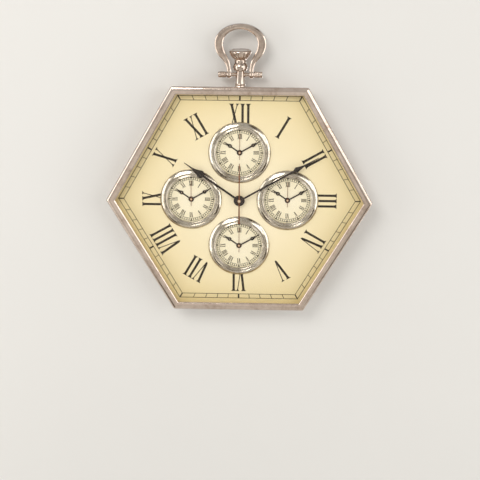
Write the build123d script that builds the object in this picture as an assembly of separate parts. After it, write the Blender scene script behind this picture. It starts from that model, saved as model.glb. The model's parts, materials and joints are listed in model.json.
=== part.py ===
from build123d import *
import math
import os

# A hexagonal wall clock in the form of a giant pocket watch.
# It has one large movement and four small dials. All sizes are in mm. The hands stand at ten past ten.
# It is built lying on its back: x to the right, y up the dial, z the distance from the wall.
# The finished pieces are stood up against the wall at the very end.

# Case
across_corners = 385.0
case_depth = 39.0
draft_angle = 12.0
hexagon_sides = 6
corner_round = 3.2
face_round = 2.9
face_width = 11.4
lip_thickness = 2.0
lip_bevel = 1.5
bezel_depth = 11.0
skirt_wall = 2.1
rim_wall = 2.0
rim_overlap = 4.0
case_wall = 2.5
fit_gap = 0.2
seam_gap = 0.3
overrun = 1.0

# Front glass stack, from the lip inwards
gasket_thickness = 0.5
gasket_width = 5.8
glass_thickness = 2.0
spacer_height = 9.5
spacer_top_width = 3.6
spacer_foot_width = 0.6
dial_thickness = 1.0

# Flanges of the case band and the back panel
front_flange_width = 10.8
flange_thickness = 2.0
rear_flange_width = 10.0
panel_recess = 2.0
panel_thickness = 2.0
panel_gap = 0.6

# Screws
back_screw_radius = 1.4
back_screw_head_radius = 3.0
back_screw_head_height = 1.4
back_screw_inset = 4.2
bezel_screw_radius = 1.0
bezel_screw_head_radius = 1.8
bezel_screw_head_height = 1.3
screw_slot_width = 0.7
screw_slot_depth = 0.6

# Wall hanger and pads
hang_drop = 38.71
hanger_width = 34.0
hanger_edge_gap = 2.7
hanger_tail = 19.0
hanger_corner = 6.0
keyhole_radius = 5.0
keyhole_slot_width = 4.6
keyhole_slot_rise = 12.0
hanger_window_margin = 3.2
rivet_radius = 1.6
rivet_head_radius = 2.8
rivet_head_height = 1.0
rivet_side_inset = 5.0
rivet_end_inset = 8.5
pad_radius = 9.0
pad_inset = 20.87
pad_angle = 33.81

# Neck, crown and bail, measured up from the bail pin or along it
pin_rise = 14.29
neck_setback = 22.5
neck_flare_radius = 10.3
neck_low_radius = 7.6
neck_top_radius = 5.7
neck_flare_height = 5.0
neck_base_drop = 16.4
neck_top_rise = 6.0
bead_radius = 10.1
bead_low_radius = 8.9
bead_height = 10.6
collar_radius = 8.1
collar_height = 4.6
crown_radius = 15.8
crown_low_radius = 8.4
crown_middle_radius = 13.1
crown_height = 13.6
crown_rim_height = 2.2
crown_rim_width = 3.0
crown_edge = 1.0
crown_dish_depth = 0.8
crown_flutes = 18
crown_flute_radius = 1.5
crown_flute_lean = 28.0
crown_shank_radius = 3.0
crown_shank_length = 10.1
crown_shank_hole = 11.7
spigot_radius = 3.0
spigot_thread_length = 6.5
boss_width = 22.0
boss_depth = 12.0
boss_drop = 7.4
nut_across_flats = 10.0
nut_thickness = 5.0
nut_gap = 0.4

bail_pin_radius = 2.9
bail_pin_reach = 27.0
pin_fit = 0.06
bail_fit = 0.08
bail_thickness = 10.4
bail_edge = 0.9
leg_inner = 13.1
leg_outer = 18.5
leg_rise = 5.0
loop_centre_rise = 44.0
loop_half_width = 36.0
loop_rise = 27.0
loop_gap_half_width = 24.4
loop_gap_rise = 19.8
loop_waist_radius = 28.0
knob_radius = 4.1
knob_length = 12.4
knob_edge = 0.5

# Small dials, each an insert pushed through the main dial
small_dial_distance = 70.0
insert_radius = 38.5
insert_hole_gap = 0.3
insert_step_depth = 3.2
can_radius = 31.0
can_wall = 1.0
can_back = 2.5
can_hole_gap = 0.5
small_dial_thickness = 0.6
small_dial_drop = 1.4
lens_thickness = 1.0
lens_rise = 0.9
lens_lap = 1.2
lens_seat_width = 0.9
bezel_radius = 45.0
bezel_swell_radius = 44.3
bezel_swell_height = 2.75
bezel_crest_radius = 41.4
bezel_crest_height = 4.3
bezel_roll_height = 4.15
bezel_shoulder_radius = 38.0
bezel_shoulder_height = 3.7
bezel_cone_radius = 35.2
bezel_cone_height = 2.5
bezel_opening_radius = 34.3
bezel_lip = 0.4
bezel_gap = 0.2
small_movement_side = 40.0
small_movement_corner = 3.0
small_movement_floor_gap = 0.5

# Main movement case
movement_height = 56.0
movement_depth = 16.0
movement_wall = 1.2
movement_corner = 2.5
washer_thickness = 1.0
washer_radius = 13.0
bushing_radius = 4.0
bushing_bore = 2.7
bushing_rise = 3.3
bushing_gap = 0.1
dial_nut_across_flats = 12.0
dial_nut_thickness = 2.4
battery_radius = 7.1
battery_length = 49.0
battery_tip_radius = 2.6
battery_tip_length = 1.2
battery_bay_height = 15.0
battery_wall = 0.7
battery_end_gap = 2.3
contact_thickness = 0.3
contact_width = 8.0
contact_height = 9.0
cover_thickness = 1.2
cover_gap = 0.15
panel_cut_gap = 0.8

# Gear train: teeth, centre distances and directions of the arbors
rotor_teeth = 6
intermediate_teeth = 60
intermediate_pinion_teeth = 10
second_teeth = 30
second_pinion_teeth = 8
third_teeth = 60
third_pinion_teeth = 8
centre_teeth = 64
cannon_teeth = 12
minute_teeth = 36
minute_pinion_teeth = 10
hour_teeth = 40
rotor_distance = 6.6
intermediate_distance = 8.0
third_distance = 10.0
minute_distance = 10.5
rotor_direction = 90.0
intermediate_direction = 90.0
third_direction = 180.0
minute_direction = 40.0
half_turn_angle = 180.0
tooth_addendum_share = 0.8
tooth_dedendum_share = 1.05
tooth_root_share = 0.46
tooth_tip_share = 0.12
wheel_thickness = 0.8
pinion_lap = 0.4
arbor_radius = 0.5
knob_arbor_radius = 0.8
arbor_fit = 0.08
pivot_depth = 0.6
setting_knob_radius = 5.0
setting_knob_height = 2.2
setting_knob_gap = 0.25

# Levels of the gear train above the inside of the movement cover
intermediate_level = 0.8
second_level = 2.3
third_level = 4.5
bridge_level = 5.8
bridge_thickness = 0.8
centre_level = 7.4
cannon_level = 9.2
hour_level = 11.4
minute_level = 9.4

# Motor
magnet_radius = 2.6
magnet_height = 2.4
magnet_level = 2.4
stator_thickness = 1.0
stator_level = 3.0
stator_gap = 0.6
stator_half_width = 14.5
stator_bottom_gap = 0.4
coil_radius = 3.3
coil_half_length = 9.0
coil_core_radius = 1.2
coil_inset = 0.5
bridge_half_width = 15.5
bridge_low = 4.8
bridge_high = 18.6
pillar_radius = 1.3
pillar_across = 26.5
pillar_rise = 17.0
pillar_tip_radius = 0.8
board_width = 8.0
board_thickness = 1.0
board_level = 0.4
chip_side = 4.0
chip_height = 1.0
crystal_width = 2.0
crystal_length = 6.0
board_gap = 1.0
board_low_gap = 1.5

# Hands: heights above the dial, lengths and widths
hour_hand_angle = 305.0
minute_hand_angle = 60.0
hour_hand_rise = 4.9
minute_hand_rise = 6.2
second_hand_rise = 7.5
hour_hand_thickness = 0.7
minute_hand_thickness = 0.6
second_hand_thickness = 0.3
hour_hand_length = 97.0
hour_bulb_start = 63.0
hour_bulb_peak = 68.6
hour_bulb_end = 85.0
hour_bulb_width = 11.8
hour_shaft_width = 2.9
hour_hub_radius = 8.0
minute_hand_length = 131.0
minute_bulb_start = 91.5
minute_bulb_peak = 95.6
minute_bulb_end = 111.0
minute_bulb_width = 7.8
minute_shaft_width = 2.6
minute_hub_radius = 7.2
hand_tip_width = 0.8
bulb_neck_width = 1.9
second_hand_length = 56.0
second_tail_length = 34.0
second_tip_width = 1.2
second_tail_width = 2.2
second_foot_width = 3.6
second_foot_length = 3.0
second_hub_radius = 2.75
second_cap_height = 0.9
second_cap_edge = 0.3
hour_pipe_radius = 2.6
minute_pipe_radius = 1.6
pipe_fit = 0.08

# Small hands
small_hour_rise = 0.5
small_minute_rise = 1.1
small_second_rise = 1.7
small_hand_thickness = 0.3
small_second_thickness = 0.2
small_hour_length = 27.0
small_hour_bulb_start = 15.2
small_hour_bulb_peak = 17.0
small_hour_bulb_end = 22.0
small_hour_bulb_width = 5.6
small_minute_length = 31.5
small_minute_bulb_start = 20.4
small_minute_bulb_peak = 22.4
small_minute_bulb_end = 26.6
small_minute_bulb_width = 5.2
small_shaft_width = 1.9
small_neck_width = 1.4
small_bulb_hole_radius = 0.8
small_tip_width = 0.6
small_hour_hub_radius = 4.0
small_minute_hub_radius = 3.4
small_second_length = 28.5
small_second_tail = 10.2
small_second_width = 0.7
small_second_hub_radius = 2.0
small_hour_pipe_radius = 1.5
small_minute_pipe_radius = 0.9
small_second_arbor_radius = 0.35
small_bushing_radius = 2.6
small_pipe_depth = 4.0

# Shares that shape the hand bulbs and the rounded profiles
bulb_shoulder_share = 0.72
bulb_waist_share = 0.30
flare_hollow_share = 0.30
half_share = 0.5

# Levels and outlines that follow from the sizes above
draft_slope = math.tan(math.radians(draft_angle))
case_apothem = across_corners / 2 * math.cos(math.pi / hexagon_sides)
opening_apothem = case_apothem - face_width
hang_height = case_apothem - hang_drop
pin_height = case_apothem + pin_rise
neck_depth = case_depth - neck_setback
widest_level = case_depth - face_round
seam_level = case_depth - bezel_depth
lip_level = case_depth - lip_thickness
gasket_level = lip_level - gasket_thickness
glass_level = gasket_level - glass_thickness
dial_top = glass_level - spacer_height
dial_bottom = dial_top - dial_thickness
front_flange_level = dial_bottom - flange_thickness
skirt_outer = case_apothem - (widest_level - seam_level) * draft_slope
skirt_inner = skirt_outer - skirt_wall
glass_apothem = skirt_inner - 2 * fit_gap
rim_outer = skirt_inner - fit_gap
rim_inner = rim_outer - rim_wall
rim_top = seam_level + rim_overlap
dial_apothem = rim_inner - fit_gap
band_top_outer = skirt_outer - fit_gap
panel_level = panel_recess
rear_flange_level = panel_recess + panel_thickness
rear_flange_top = rear_flange_level + flange_thickness

movement_front = dial_bottom - washer_thickness
movement_back = movement_front - movement_depth
cover_top = movement_back + cover_thickness
housing_roof = movement_front - movement_wall
bushing_top = movement_front + washer_thickness + dial_thickness + bushing_rise
movement_width = battery_length + 2 * battery_end_gap + 2 * movement_wall
half_width = movement_width / 2
half_side = movement_height / 2
bay_top = -half_side + movement_wall + battery_bay_height
gear_bay_low = bay_top + movement_wall
battery_height = bay_top - battery_bay_height / 2
battery_level = movement_front - battery_wall - contact_thickness - battery_radius
contact_level = movement_front - battery_wall - battery_radius

small_dial_top = dial_top - small_dial_drop
small_dial_bottom = small_dial_top - small_dial_thickness
lens_level = dial_top + lens_rise
lens_top = lens_level + lens_thickness
lens_radius = bezel_opening_radius + lens_lap
can_step_level = dial_top - insert_step_depth
can_bore = can_radius - can_wall
insert_bore = lens_radius - lens_seat_width
small_floor = can_back + can_wall + small_movement_floor_gap
small_block_top = small_dial_bottom - bushing_gap

hour_module = 2 * minute_distance / (minute_pinion_teeth + hour_teeth)
minute_module = 2 * minute_distance / (cannon_teeth + minute_teeth)
third_module = 2 * third_distance / (second_pinion_teeth + third_teeth)
centre_module = 2 * third_distance / (third_pinion_teeth + centre_teeth)
second_module = 2 * intermediate_distance / (intermediate_pinion_teeth + second_teeth)
rotor_module = 2 * rotor_distance / (rotor_teeth + intermediate_teeth)

intermediate_x = intermediate_distance * math.cos(math.radians(intermediate_direction))
intermediate_y = intermediate_distance * math.sin(math.radians(intermediate_direction))
third_x = third_distance * math.cos(math.radians(third_direction))
third_y = third_distance * math.sin(math.radians(third_direction))
minute_x = minute_distance * math.cos(math.radians(minute_direction))
minute_y = minute_distance * math.sin(math.radians(minute_direction))
rotor_x = intermediate_x + rotor_distance * math.cos(math.radians(rotor_direction))
rotor_y = intermediate_y + rotor_distance * math.sin(math.radians(rotor_direction))

small_places = {
    "top": (0, small_dial_distance),
    "right": (small_dial_distance, 0),
    "bottom": (0, -small_dial_distance),
    "left": (-small_dial_distance, 0),
}


def hexagon(apothem, level):
    """Flat hexagon with corners left and right, at a level above the wall."""
    return Pos(0, 0, level) * RegularPolygon(apothem, hexagon_sides, major_radius=False)


def hex_prism(apothem, low, high):
    return extrude(hexagon(apothem, low), high - low)


def hex_taper(low_apothem, low, high_apothem, high):
    return loft([hexagon(low_apothem, low), hexagon(high_apothem, high)], ruled=True)


def rounded_hexagon(apothem, level):
    face = RegularPolygon(apothem, hexagon_sides, major_radius=False)
    return Pos(0, 0, level) * fillet(face.vertices(), corner_round)


def rounded_taper(low_apothem, low, high_apothem, high):
    return loft([rounded_hexagon(low_apothem, low), rounded_hexagon(high_apothem, high)], ruled=True)


def rod(radius, low, high, x=0, y=0):
    """Round bar along z between two levels."""
    return Pos(x, y, low) * extrude(Circle(radius), high - low)


def tube(outer, inner, low, high, x=0, y=0):
    return Pos(x, y, low) * extrude(Circle(outer) - Circle(inner), high - low)


def block(width, height, low, high, x=0, y=0, corner=0):
    """Rectangular block along z, its corners rounded where a corner radius is given."""
    face = RectangleRounded(width, height, corner) if corner else Rectangle(width, height)
    return Pos(x, y, low) * extrude(face, high - low)


def cross_rod(radius, left, right, y, z):
    """Round bar along x at a height and a level."""
    return Pos(left, y, z) * Rot(0, 90, 0) * extrude(Circle(radius), right - left)


def hex_nut(across_flats, bore, low, high):
    face = RegularPolygon(across_flats / 2, hexagon_sides, major_radius=False) - Circle(bore)
    return Pos(0, 0, low) * extrude(face, high - low)


def group(pieces):
    """Separate solids kept together as one set."""
    return Compound([solid for piece in pieces for solid in piece.solids()])


def band_outer(level):
    """Apothem of the outside of the case band at a level."""
    return band_top_outer - (seam_level - level) * draft_slope


def band_inner(level):
    """Apothem of the inside of the case band at a level."""
    return band_outer(level) - case_wall


def case_bezel():
    """Front frame: tapered skirt, rounded front edge, flat face and bevelled inner lip."""
    body = rounded_taper(skirt_outer, seam_level, case_apothem, widest_level)
    body += extrude(rounded_hexagon(case_apothem, widest_level), face_round)
    body = fillet(body.edges().group_by(Axis.Z)[-1], face_round - fit_gap)
    body -= hex_prism(skirt_inner, seam_level - overrun, lip_level)
    slope = lip_bevel / lip_thickness
    low_cut = opening_apothem - overrun * slope
    high_cut = opening_apothem + lip_bevel + overrun * slope
    body -= hex_taper(low_cut, lip_level - overrun, high_cut, case_depth + overrun)
    for angle in side_angles():
        body -= bezel_screw_space(angle)
    return body


def side_angles():
    """Directions of the six sides, from the one on top."""
    return [90 + k * 360 / hexagon_sides for k in range(hexagon_sides)]


def bezel_screw_level():
    return seam_level + rim_overlap / 2


def bezel_screw_seat():
    """Radius at which the screw heads sit in the skirt."""
    return skirt_inner + skirt_wall / 2


def radial_rod(radius, start, stop, angle, level):
    """Round bar pointing out from the clock's axis."""
    bar = Pos(start, 0, level) * Rot(0, 90, 0) * extrude(Circle(radius), stop - start)
    return Rot(0, 0, angle) * bar


def bezel_screw_space(angle):
    seat = bezel_screw_seat()
    hole = radial_rod(bezel_screw_radius, rim_inner, seat + overrun, angle, bezel_screw_level())
    reach = seat + skirt_wall + overrun
    return hole + radial_rod(bezel_screw_head_radius, seat, reach, angle, bezel_screw_level())


def bezel_screws():
    """Six slotted screws through the skirt into the rim of the band."""
    screws = []
    level = bezel_screw_level()
    seat = bezel_screw_seat()
    top = seat + bezel_screw_head_height
    for angle in side_angles():
        screw = radial_rod(bezel_screw_radius, rim_inner + fit_gap, seat, angle, level)
        screw += radial_rod(bezel_screw_head_radius, seat, top, angle, level)
        slot = Box(2 * screw_slot_depth, 2 * bezel_screw_head_radius + overrun, screw_slot_width)
        screw -= Rot(0, 0, angle) * Pos(top, 0, level) * slot
        screws.append(screw)
    return group(screws)


def case_band():
    """Tapered side band with a rim for the bezel, a front flange for the dial and a rear flange."""
    body = rounded_taper(band_outer(0), 0, band_outer(seam_level - fit_gap), seam_level - fit_gap)
    body += hex_prism(rim_outer, seam_level - fit_gap, rim_top)
    body -= hex_prism(rim_inner, dial_bottom, rim_top + overrun)
    front_window = rim_inner - front_flange_width
    body -= hex_prism(front_window, front_flange_level - overrun, dial_bottom + overrun)
    low = band_inner(rear_flange_top)
    body -= hex_taper(low, rear_flange_top, band_inner(front_flange_level), front_flange_level)
    rear_window = low - rear_flange_width
    body -= hex_prism(rear_window, rear_flange_level - overrun, rear_flange_top + overrun)
    body -= hex_taper(band_inner(-overrun), -overrun, band_inner(rear_flange_level), rear_flange_level)
    body += neck_boss()
    spigot_hole = extrude(Circle(spigot_radius + pin_fit), pin_height)
    body -= Pos(0, 0, neck_depth) * Rot(-90, 0, 0) * spigot_hole
    body -= neck_nut_space()
    for angle in side_angles():
        body -= bezel_screw_space(angle)
    for x, y in back_screw_places():
        body -= rod(back_screw_radius, 0, rear_flange_top + overrun, x, y)
    return body


def neck_boss_low():
    return band_outer(neck_depth) - boss_drop


def neck_boss():
    """Block cast inside the top wall, which gives the neck nut a flat seat."""
    back = neck_depth - boss_depth / 2
    front = neck_depth + boss_depth / 2
    height = band_outer(back) - case_wall / 2 - neck_boss_low()
    return block(boss_width, height, back, front, 0, neck_boss_low() + height / 2)


def neck_nut_space():
    """Room for the neck nut under the boss, kept free of the flanges."""
    half = nut_across_flats / 2 + nut_gap
    width = 2 * half / math.cos(math.pi / hexagon_sides)
    height = nut_thickness + spigot_thread_length
    return block(width, height, neck_depth - half, neck_depth + half, 0, neck_boss_low() - height / 2)


def panel_apothem():
    return band_inner(0) - panel_gap


def back_screw_places():
    """One screw near each corner of the back panel."""
    distance = panel_apothem() / math.cos(math.pi / hexagon_sides)
    reach = distance - back_screw_inset * 2
    angles = [math.radians(k * 360 / hexagon_sides) for k in range(hexagon_sides)]
    return [(reach * math.cos(angle), reach * math.sin(angle)) for angle in angles]


def back_panel():
    """Flat back, cut out for the movements and behind the wall hanger."""
    body = hex_prism(panel_apothem(), panel_level, rear_flange_level)
    for x, y in small_places.values():
        body -= rod(can_radius + can_hole_gap, 0, rear_flange_top, x, y)
    width = movement_width + 2 * panel_cut_gap
    height = movement_height + 2 * panel_cut_gap
    body -= block(width, height, 0, rear_flange_top, 0, 0, movement_corner)
    margin = hanger_window_margin
    body -= keyhole_cut(keyhole_radius + margin, keyhole_slot_width / 2 + margin)
    for x, y in rivet_places():
        body -= rod(rivet_radius, 0, rear_flange_top, x, y)
    for x, y in back_screw_places():
        body -= rod(back_screw_radius, 0, rear_flange_top, x, y)
    return body


def keyhole_cut(radius, slot_half_width):
    """Round hole with a slot above it that ends in a half round."""
    cut = rod(radius, -overrun, rear_flange_top, 0, hang_height)
    slot_top = hang_height + keyhole_slot_rise
    cut += rod(slot_half_width, -overrun, rear_flange_top, 0, slot_top)
    middle = (hang_height + slot_top) / 2
    height = slot_top - hang_height
    return cut + block(2 * slot_half_width, height, -overrun, rear_flange_top, 0, middle)


def hanger_ends():
    """Heights of the plate's lower and upper end; the upper one stays clear of the band."""
    return hang_height - hanger_tail, panel_apothem() - hanger_edge_gap


def rivet_places():
    low, high = hanger_ends()
    heights = (low + rivet_end_inset, high - rivet_end_inset)
    reach = hanger_width / 2 - rivet_side_inset
    return [(side * reach, y) for side in (-1, 1) for y in heights]


def hanger_plate():
    """Steel plate with the keyhole, riveted to the outside of the back panel."""
    low, high = hanger_ends()
    plate = block(hanger_width, high - low, 0, panel_level, 0, (low + high) / 2, hanger_corner)
    plate -= keyhole_cut(keyhole_radius, keyhole_slot_width / 2)
    for x, y in rivet_places():
        plate -= rod(rivet_radius, -overrun, rear_flange_top, x, y)
        plate -= rod(rivet_head_radius, -overrun, rivet_head_height, x, y)
    return plate


def hanger_rivets():
    """Four flat rivets, headed on the outside of the plate and on the inside of the panel."""
    rivets = []
    tail_top = rear_flange_level + rivet_head_height
    for x, y in rivet_places():
        rivet = rod(rivet_radius, 0, tail_top, x, y)
        rivet += rod(rivet_head_radius, 0, rivet_head_height, x, y)
        rivet += rod(rivet_head_radius, rear_flange_level, tail_top, x, y)
        rivets.append(rivet)
    return group(rivets)


def wall_pads():
    """Two soft pads that keep the lower half square to the wall."""
    reach = panel_apothem() - pad_inset
    across = reach * math.sin(math.radians(pad_angle))
    drop = reach * math.cos(math.radians(pad_angle))
    return group([rod(pad_radius, 0, panel_level, x, -drop) for x in (-across, across)])


def back_screws():
    screws = []
    head_low = panel_level - back_screw_head_height
    for x, y in back_screw_places():
        screw = rod(back_screw_radius, head_low, rear_flange_top, x, y)
        screw += rod(back_screw_head_radius, head_low, panel_level, x, y)
        slot = Box(2 * back_screw_head_radius + overrun, screw_slot_width, 2 * screw_slot_depth)
        screws.append(screw - Pos(x, y, head_low) * slot)
    return group(screws)


def front_glass():
    return hex_prism(glass_apothem, glass_level, gasket_level)


def glass_gasket():
    ring = hex_prism(glass_apothem, gasket_level, lip_level)
    return ring - hex_prism(glass_apothem - gasket_width, gasket_level - overrun, lip_level + overrun)


def glass_spacer():
    """Ring between dial and glass; its inner face leans back so that the lip hides it."""
    ring = hex_prism(dial_apothem, dial_top, glass_level)
    foot = dial_apothem - spacer_foot_width
    slope = (spacer_top_width - spacer_foot_width) / spacer_height
    low_cut = foot + overrun * slope
    high_cut = dial_apothem - spacer_top_width - overrun * slope
    return ring - hex_taper(low_cut, dial_top - overrun, high_cut, glass_level + overrun)


def main_dial():
    body = hex_prism(dial_apothem, dial_bottom, dial_top)
    body -= rod(bushing_radius + bushing_gap, 0, case_depth)
    for x, y in small_places.values():
        body -= rod(insert_radius + insert_hole_gap, 0, case_depth, x, y)
    return body


def upright_turn(profile):
    """Turn a profile, drawn as radius and height above the bail pin, about the neck's upright axis."""
    solid = revolve(Plane.XY * make_face(profile), Axis.Y)
    return Pos(0, pin_height, neck_depth) * solid


def neck_base_cut():
    """Everything below the sloping top wall of the band, where the neck is scribed to fit."""
    top = band_outer(neck_depth)
    cutter = Pos(0, -pin_height, 0) * Box(pin_height, 2 * pin_height, pin_height)
    return Pos(0, top, neck_depth) * Rot(-draft_angle, 0, 0) * cutter


def bead_low():
    return neck_top_rise


def bead_top():
    return bead_low() + bead_height


def neck_outline():
    """Right half of the neck, as radius and height above the bail pin."""
    foot = -neck_base_drop
    flare_low = foot - neck_flare_height
    flare_start = (neck_flare_radius, foot - neck_flare_height / 2)
    flare_end = (neck_low_radius, foot + neck_flare_height / 2)
    flare_middle = (
        neck_low_radius + (neck_flare_radius - neck_low_radius) * flare_hollow_share,
        foot - neck_flare_height * flare_hollow_share / 2,
    )
    bead_start = (bead_low_radius, bead_low())
    bead_end = (collar_radius, bead_top())
    outline = Polyline((0, flare_low), (neck_flare_radius, flare_low), flare_start)
    outline += ThreePointArc(flare_start, flare_middle, flare_end)
    outline += Polyline(flare_end, (neck_top_radius, bead_low()), bead_start)
    outline += ThreePointArc(bead_start, (bead_radius, bead_low() + bead_height / 2), bead_end)
    return outline + Polyline(bead_end, (0, bead_top()), (0, flare_low))


def neck():
    """Turned neck: flared foot, tapering stem and a bead, with a threaded spigot below."""
    foot = -neck_base_drop
    body = upright_turn(neck_outline())
    body -= neck_base_cut()
    spigot_low = neck_boss_low() - spigot_thread_length
    length = pin_height + foot - spigot_low
    body += Pos(0, spigot_low, neck_depth) * Rot(-90, 0, 0) * extrude(Circle(spigot_radius), length)
    reach = neck_flare_radius
    body -= cross_rod(bail_pin_radius + pin_fit, -reach, reach, pin_height, neck_depth)
    hole = extrude(Circle(crown_shank_radius), case_depth)
    hole_low = pin_height + bead_top() - crown_shank_hole
    return body - Pos(0, hole_low, neck_depth) * Rot(-90, 0, 0) * hole


def neck_nut():
    """Nut on the spigot, under the boss inside the case."""
    nut = hex_nut(nut_across_flats, spigot_radius, 0, nut_thickness)
    return Pos(0, neck_boss_low() - nut_thickness, neck_depth) * Rot(-90, 0, 0) * nut


def crown_outline():
    """Right half of the crown, as radius and height above the bail pin."""
    base = bead_top()
    collar_top = base + collar_height
    top = collar_top + crown_height
    rim_low = top - crown_rim_height
    shank = base - crown_shank_length
    floor = top - crown_dish_depth
    dish_radius = crown_radius - crown_rim_width
    outline = Polyline((0, shank), (crown_shank_radius, shank), (crown_shank_radius, base))
    outline += Polyline((crown_shank_radius, base), (collar_radius, base), (collar_radius, collar_top))
    outline += Line((collar_radius, collar_top), (crown_low_radius, collar_top))
    outline += ThreePointArc(
        (crown_low_radius, collar_top),
        (crown_middle_radius, (collar_top + rim_low) / 2),
        (crown_radius, rim_low),
    )
    edge = (crown_radius - crown_edge, top)
    outline += Polyline((crown_radius, rim_low), (crown_radius, top - crown_edge), edge)
    outline += Polyline(edge, (dish_radius + crown_edge, top), (dish_radius, floor))
    return outline + Polyline((dish_radius, floor), (0, floor), (0, shank))


def crown():
    """Fluted crown that widens upwards, on a collar and a threaded shank."""
    body = upright_turn(crown_outline())
    length = crown_height - crown_rim_height
    middle_height = pin_height + bead_top() + collar_height + length / 2
    flute = Pos(0, 0, -length) * extrude(Circle(crown_flute_radius), 2 * length)
    for k in range(crown_flutes):
        place = Pos(0, middle_height, neck_depth) * Rot(0, k * 360 / crown_flutes, 0)
        reach = crown_middle_radius + crown_flute_radius / 2
        body -= place * Pos(reach, 0, 0) * Rot(90, 0, -crown_flute_lean) * flute
    return body


def waist_curve(start, half_step, drop):
    """Two arcs that meet smoothly and bring a side of the loop down and in to its leg."""
    turn = 2 * math.atan2(half_step, drop)
    lower_radius = drop / math.sin(turn) - loop_waist_radius
    degrees = math.degrees(turn)
    upper = JernArc(start, (0, -1), loop_waist_radius, -degrees)
    return upper + JernArc(upper @ 1, upper % 1, lower_radius, degrees)


def loop_half(half_width, rise, leg):
    """Right half of one outline of the loop, from the top middle down to the end of the leg."""
    quarter = half_turn_angle / 2
    top = EllipticalCenterArc((0, loop_centre_rise), half_width, rise, start_angle=0, arc_size=quarter)
    curve = waist_curve((half_width, loop_centre_rise), half_width - leg, loop_centre_rise - leg_rise)
    return top + curve + Line((leg, leg_rise), (leg, 0))


def on_loop_face(edge):
    """True for the long edges of the loop, on its front and its back."""
    middle = edge.center()
    flat = abs(abs(middle.Z) - bail_thickness / 2) < fit_gap
    return flat and middle.X > fit_gap and middle.Y > fit_gap


def bail():
    """Omega-shaped loop, wide at the sides and slim at the top, with an eye at the end of each leg."""
    outer = loop_half(loop_half_width, loop_rise, leg_outer)
    inner = loop_half(loop_gap_half_width, loop_gap_rise, leg_inner)
    feet = Line((leg_inner, 0), (leg_outer, 0))
    top = Line((0, loop_centre_rise + loop_gap_rise), (0, loop_centre_rise + loop_rise))
    half = make_face(outer + inner + feet + top)
    body = extrude(half, bail_thickness / 2, both=True)
    body = chamfer(body.edges().filter_by(on_loop_face), bail_edge)
    body += mirror(body, Plane.YZ)
    for side in (-1, 1):
        start = min(side * leg_inner, side * leg_outer)
        stop = max(side * leg_inner, side * leg_outer)
        body += cross_rod(bail_thickness / 2, start, stop, 0, 0)
    body -= cross_rod(bail_pin_radius + bail_fit, -loop_half_width, loop_half_width, 0, 0)
    return Pos(0, pin_height, neck_depth) * body


def bail_pin():
    return cross_rod(bail_pin_radius, -bail_pin_reach, bail_pin_reach, pin_height, neck_depth)


def pin_knobs():
    """Long round nuts on both ends of the bail pin."""
    start = leg_outer + seam_gap
    body = chamfer(extrude(Circle(knob_radius), knob_length).edges(), knob_edge)
    body -= rod(bail_pin_radius + pin_fit, -overrun, bail_pin_reach - start + fit_gap)
    right = Pos(start, pin_height, neck_depth) * Rot(0, 90, 0) * body
    return group([right, mirror(right, Plane.YZ)])


def small_bezel(x, y):
    """Polished ring of a small dial: round outer swell, inner cone and a fine raised edge."""
    foot = dial_top
    crest = (bezel_crest_radius, foot + bezel_crest_height)
    shoulder = (bezel_shoulder_radius, foot + bezel_shoulder_height)
    cone = (bezel_cone_radius, foot + bezel_cone_height)
    swell = (bezel_swell_radius, foot + bezel_swell_height)
    roll = ((bezel_crest_radius + bezel_shoulder_radius) / 2, foot + bezel_roll_height)
    lip = (bezel_opening_radius + bezel_lip, foot + bezel_cone_height + bezel_lip)
    opening = (bezel_opening_radius, foot + bezel_cone_height)
    recess = insert_radius + bezel_gap
    lens_recess = lens_radius + bezel_gap
    outline = ThreePointArc((bezel_radius, foot), swell, crest)
    outline += ThreePointArc(crest, roll, shoulder)
    lens_corner = (lens_recess, lens_level)
    outline += Polyline(shoulder, cone, lip, opening, (bezel_opening_radius, lens_top))
    outline += Polyline((bezel_opening_radius, lens_top), (lens_recess, lens_top), lens_corner)
    outline += Polyline(lens_corner, (recess, lens_level), (recess, foot), (bezel_radius, foot))
    return Pos(x, y, 0) * revolve(Plane.XZ * make_face(outline), Axis.Z)


def small_can(x, y):
    """Stepped can: the wide part carries the small dial and its lens, the narrow part the works."""
    wide = rod(insert_radius, can_step_level, lens_level)
    wide -= rod(insert_bore, small_dial_bottom, lens_level + overrun)
    body = wide + rod(can_radius, can_back, can_step_level)
    body -= rod(can_bore, can_back + can_wall, small_dial_bottom + overrun)
    return Pos(x, y, 0) * body


def small_movement(x, y):
    """Sealed works of a small dial, with the bushing that the small hands turn in."""
    side = small_movement_side
    body = block(side, side, small_floor, small_block_top, 0, 0, small_movement_corner)
    body += rod(small_bushing_radius, small_block_top, small_dial_top)
    body -= rod(small_hour_pipe_radius + pipe_fit, small_pipe_bottom(), case_depth)
    return Pos(x, y, 0) * body


def small_pipe_bottom():
    return small_block_top - small_pipe_depth


def small_dial(x, y):
    hole = small_bushing_radius + fit_gap
    return tube(insert_bore - fit_gap, hole, small_dial_bottom, small_dial_top, x, y)


def small_lens(x, y):
    return rod(lens_radius, lens_level, lens_top, x, y)


def spade_outline(length, bulb, widths):
    """Hand from its centre to its tip: slim shaft, round-shouldered bulb drawn in to a fine point.

    The bulb is given as the heights of its start, peak and end, the widths as those of shaft,
    bulb, the neck beyond the bulb, and tip."""
    start, peak, end = bulb
    shaft, swell, neck_half, tip = [width / 2 for width in widths]
    shoulder = (
        shaft + (swell - shaft) * bulb_shoulder_share,
        start + (peak - start) * (1 - bulb_shoulder_share),
    )
    waist = (neck_half + (swell - neck_half) * bulb_waist_share, (peak + end) / 2)
    right = Polyline((0, 0), (shaft, 0), (shaft, start))
    right += ThreePointArc((shaft, start), shoulder, (swell, peak))
    right += ThreePointArc((swell, peak), waist, (neck_half, end))
    right += Polyline((neck_half, end), (tip, length), (0, length), (0, 0))
    half = make_face(right)
    return half + mirror(half, Plane.YZ)


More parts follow.
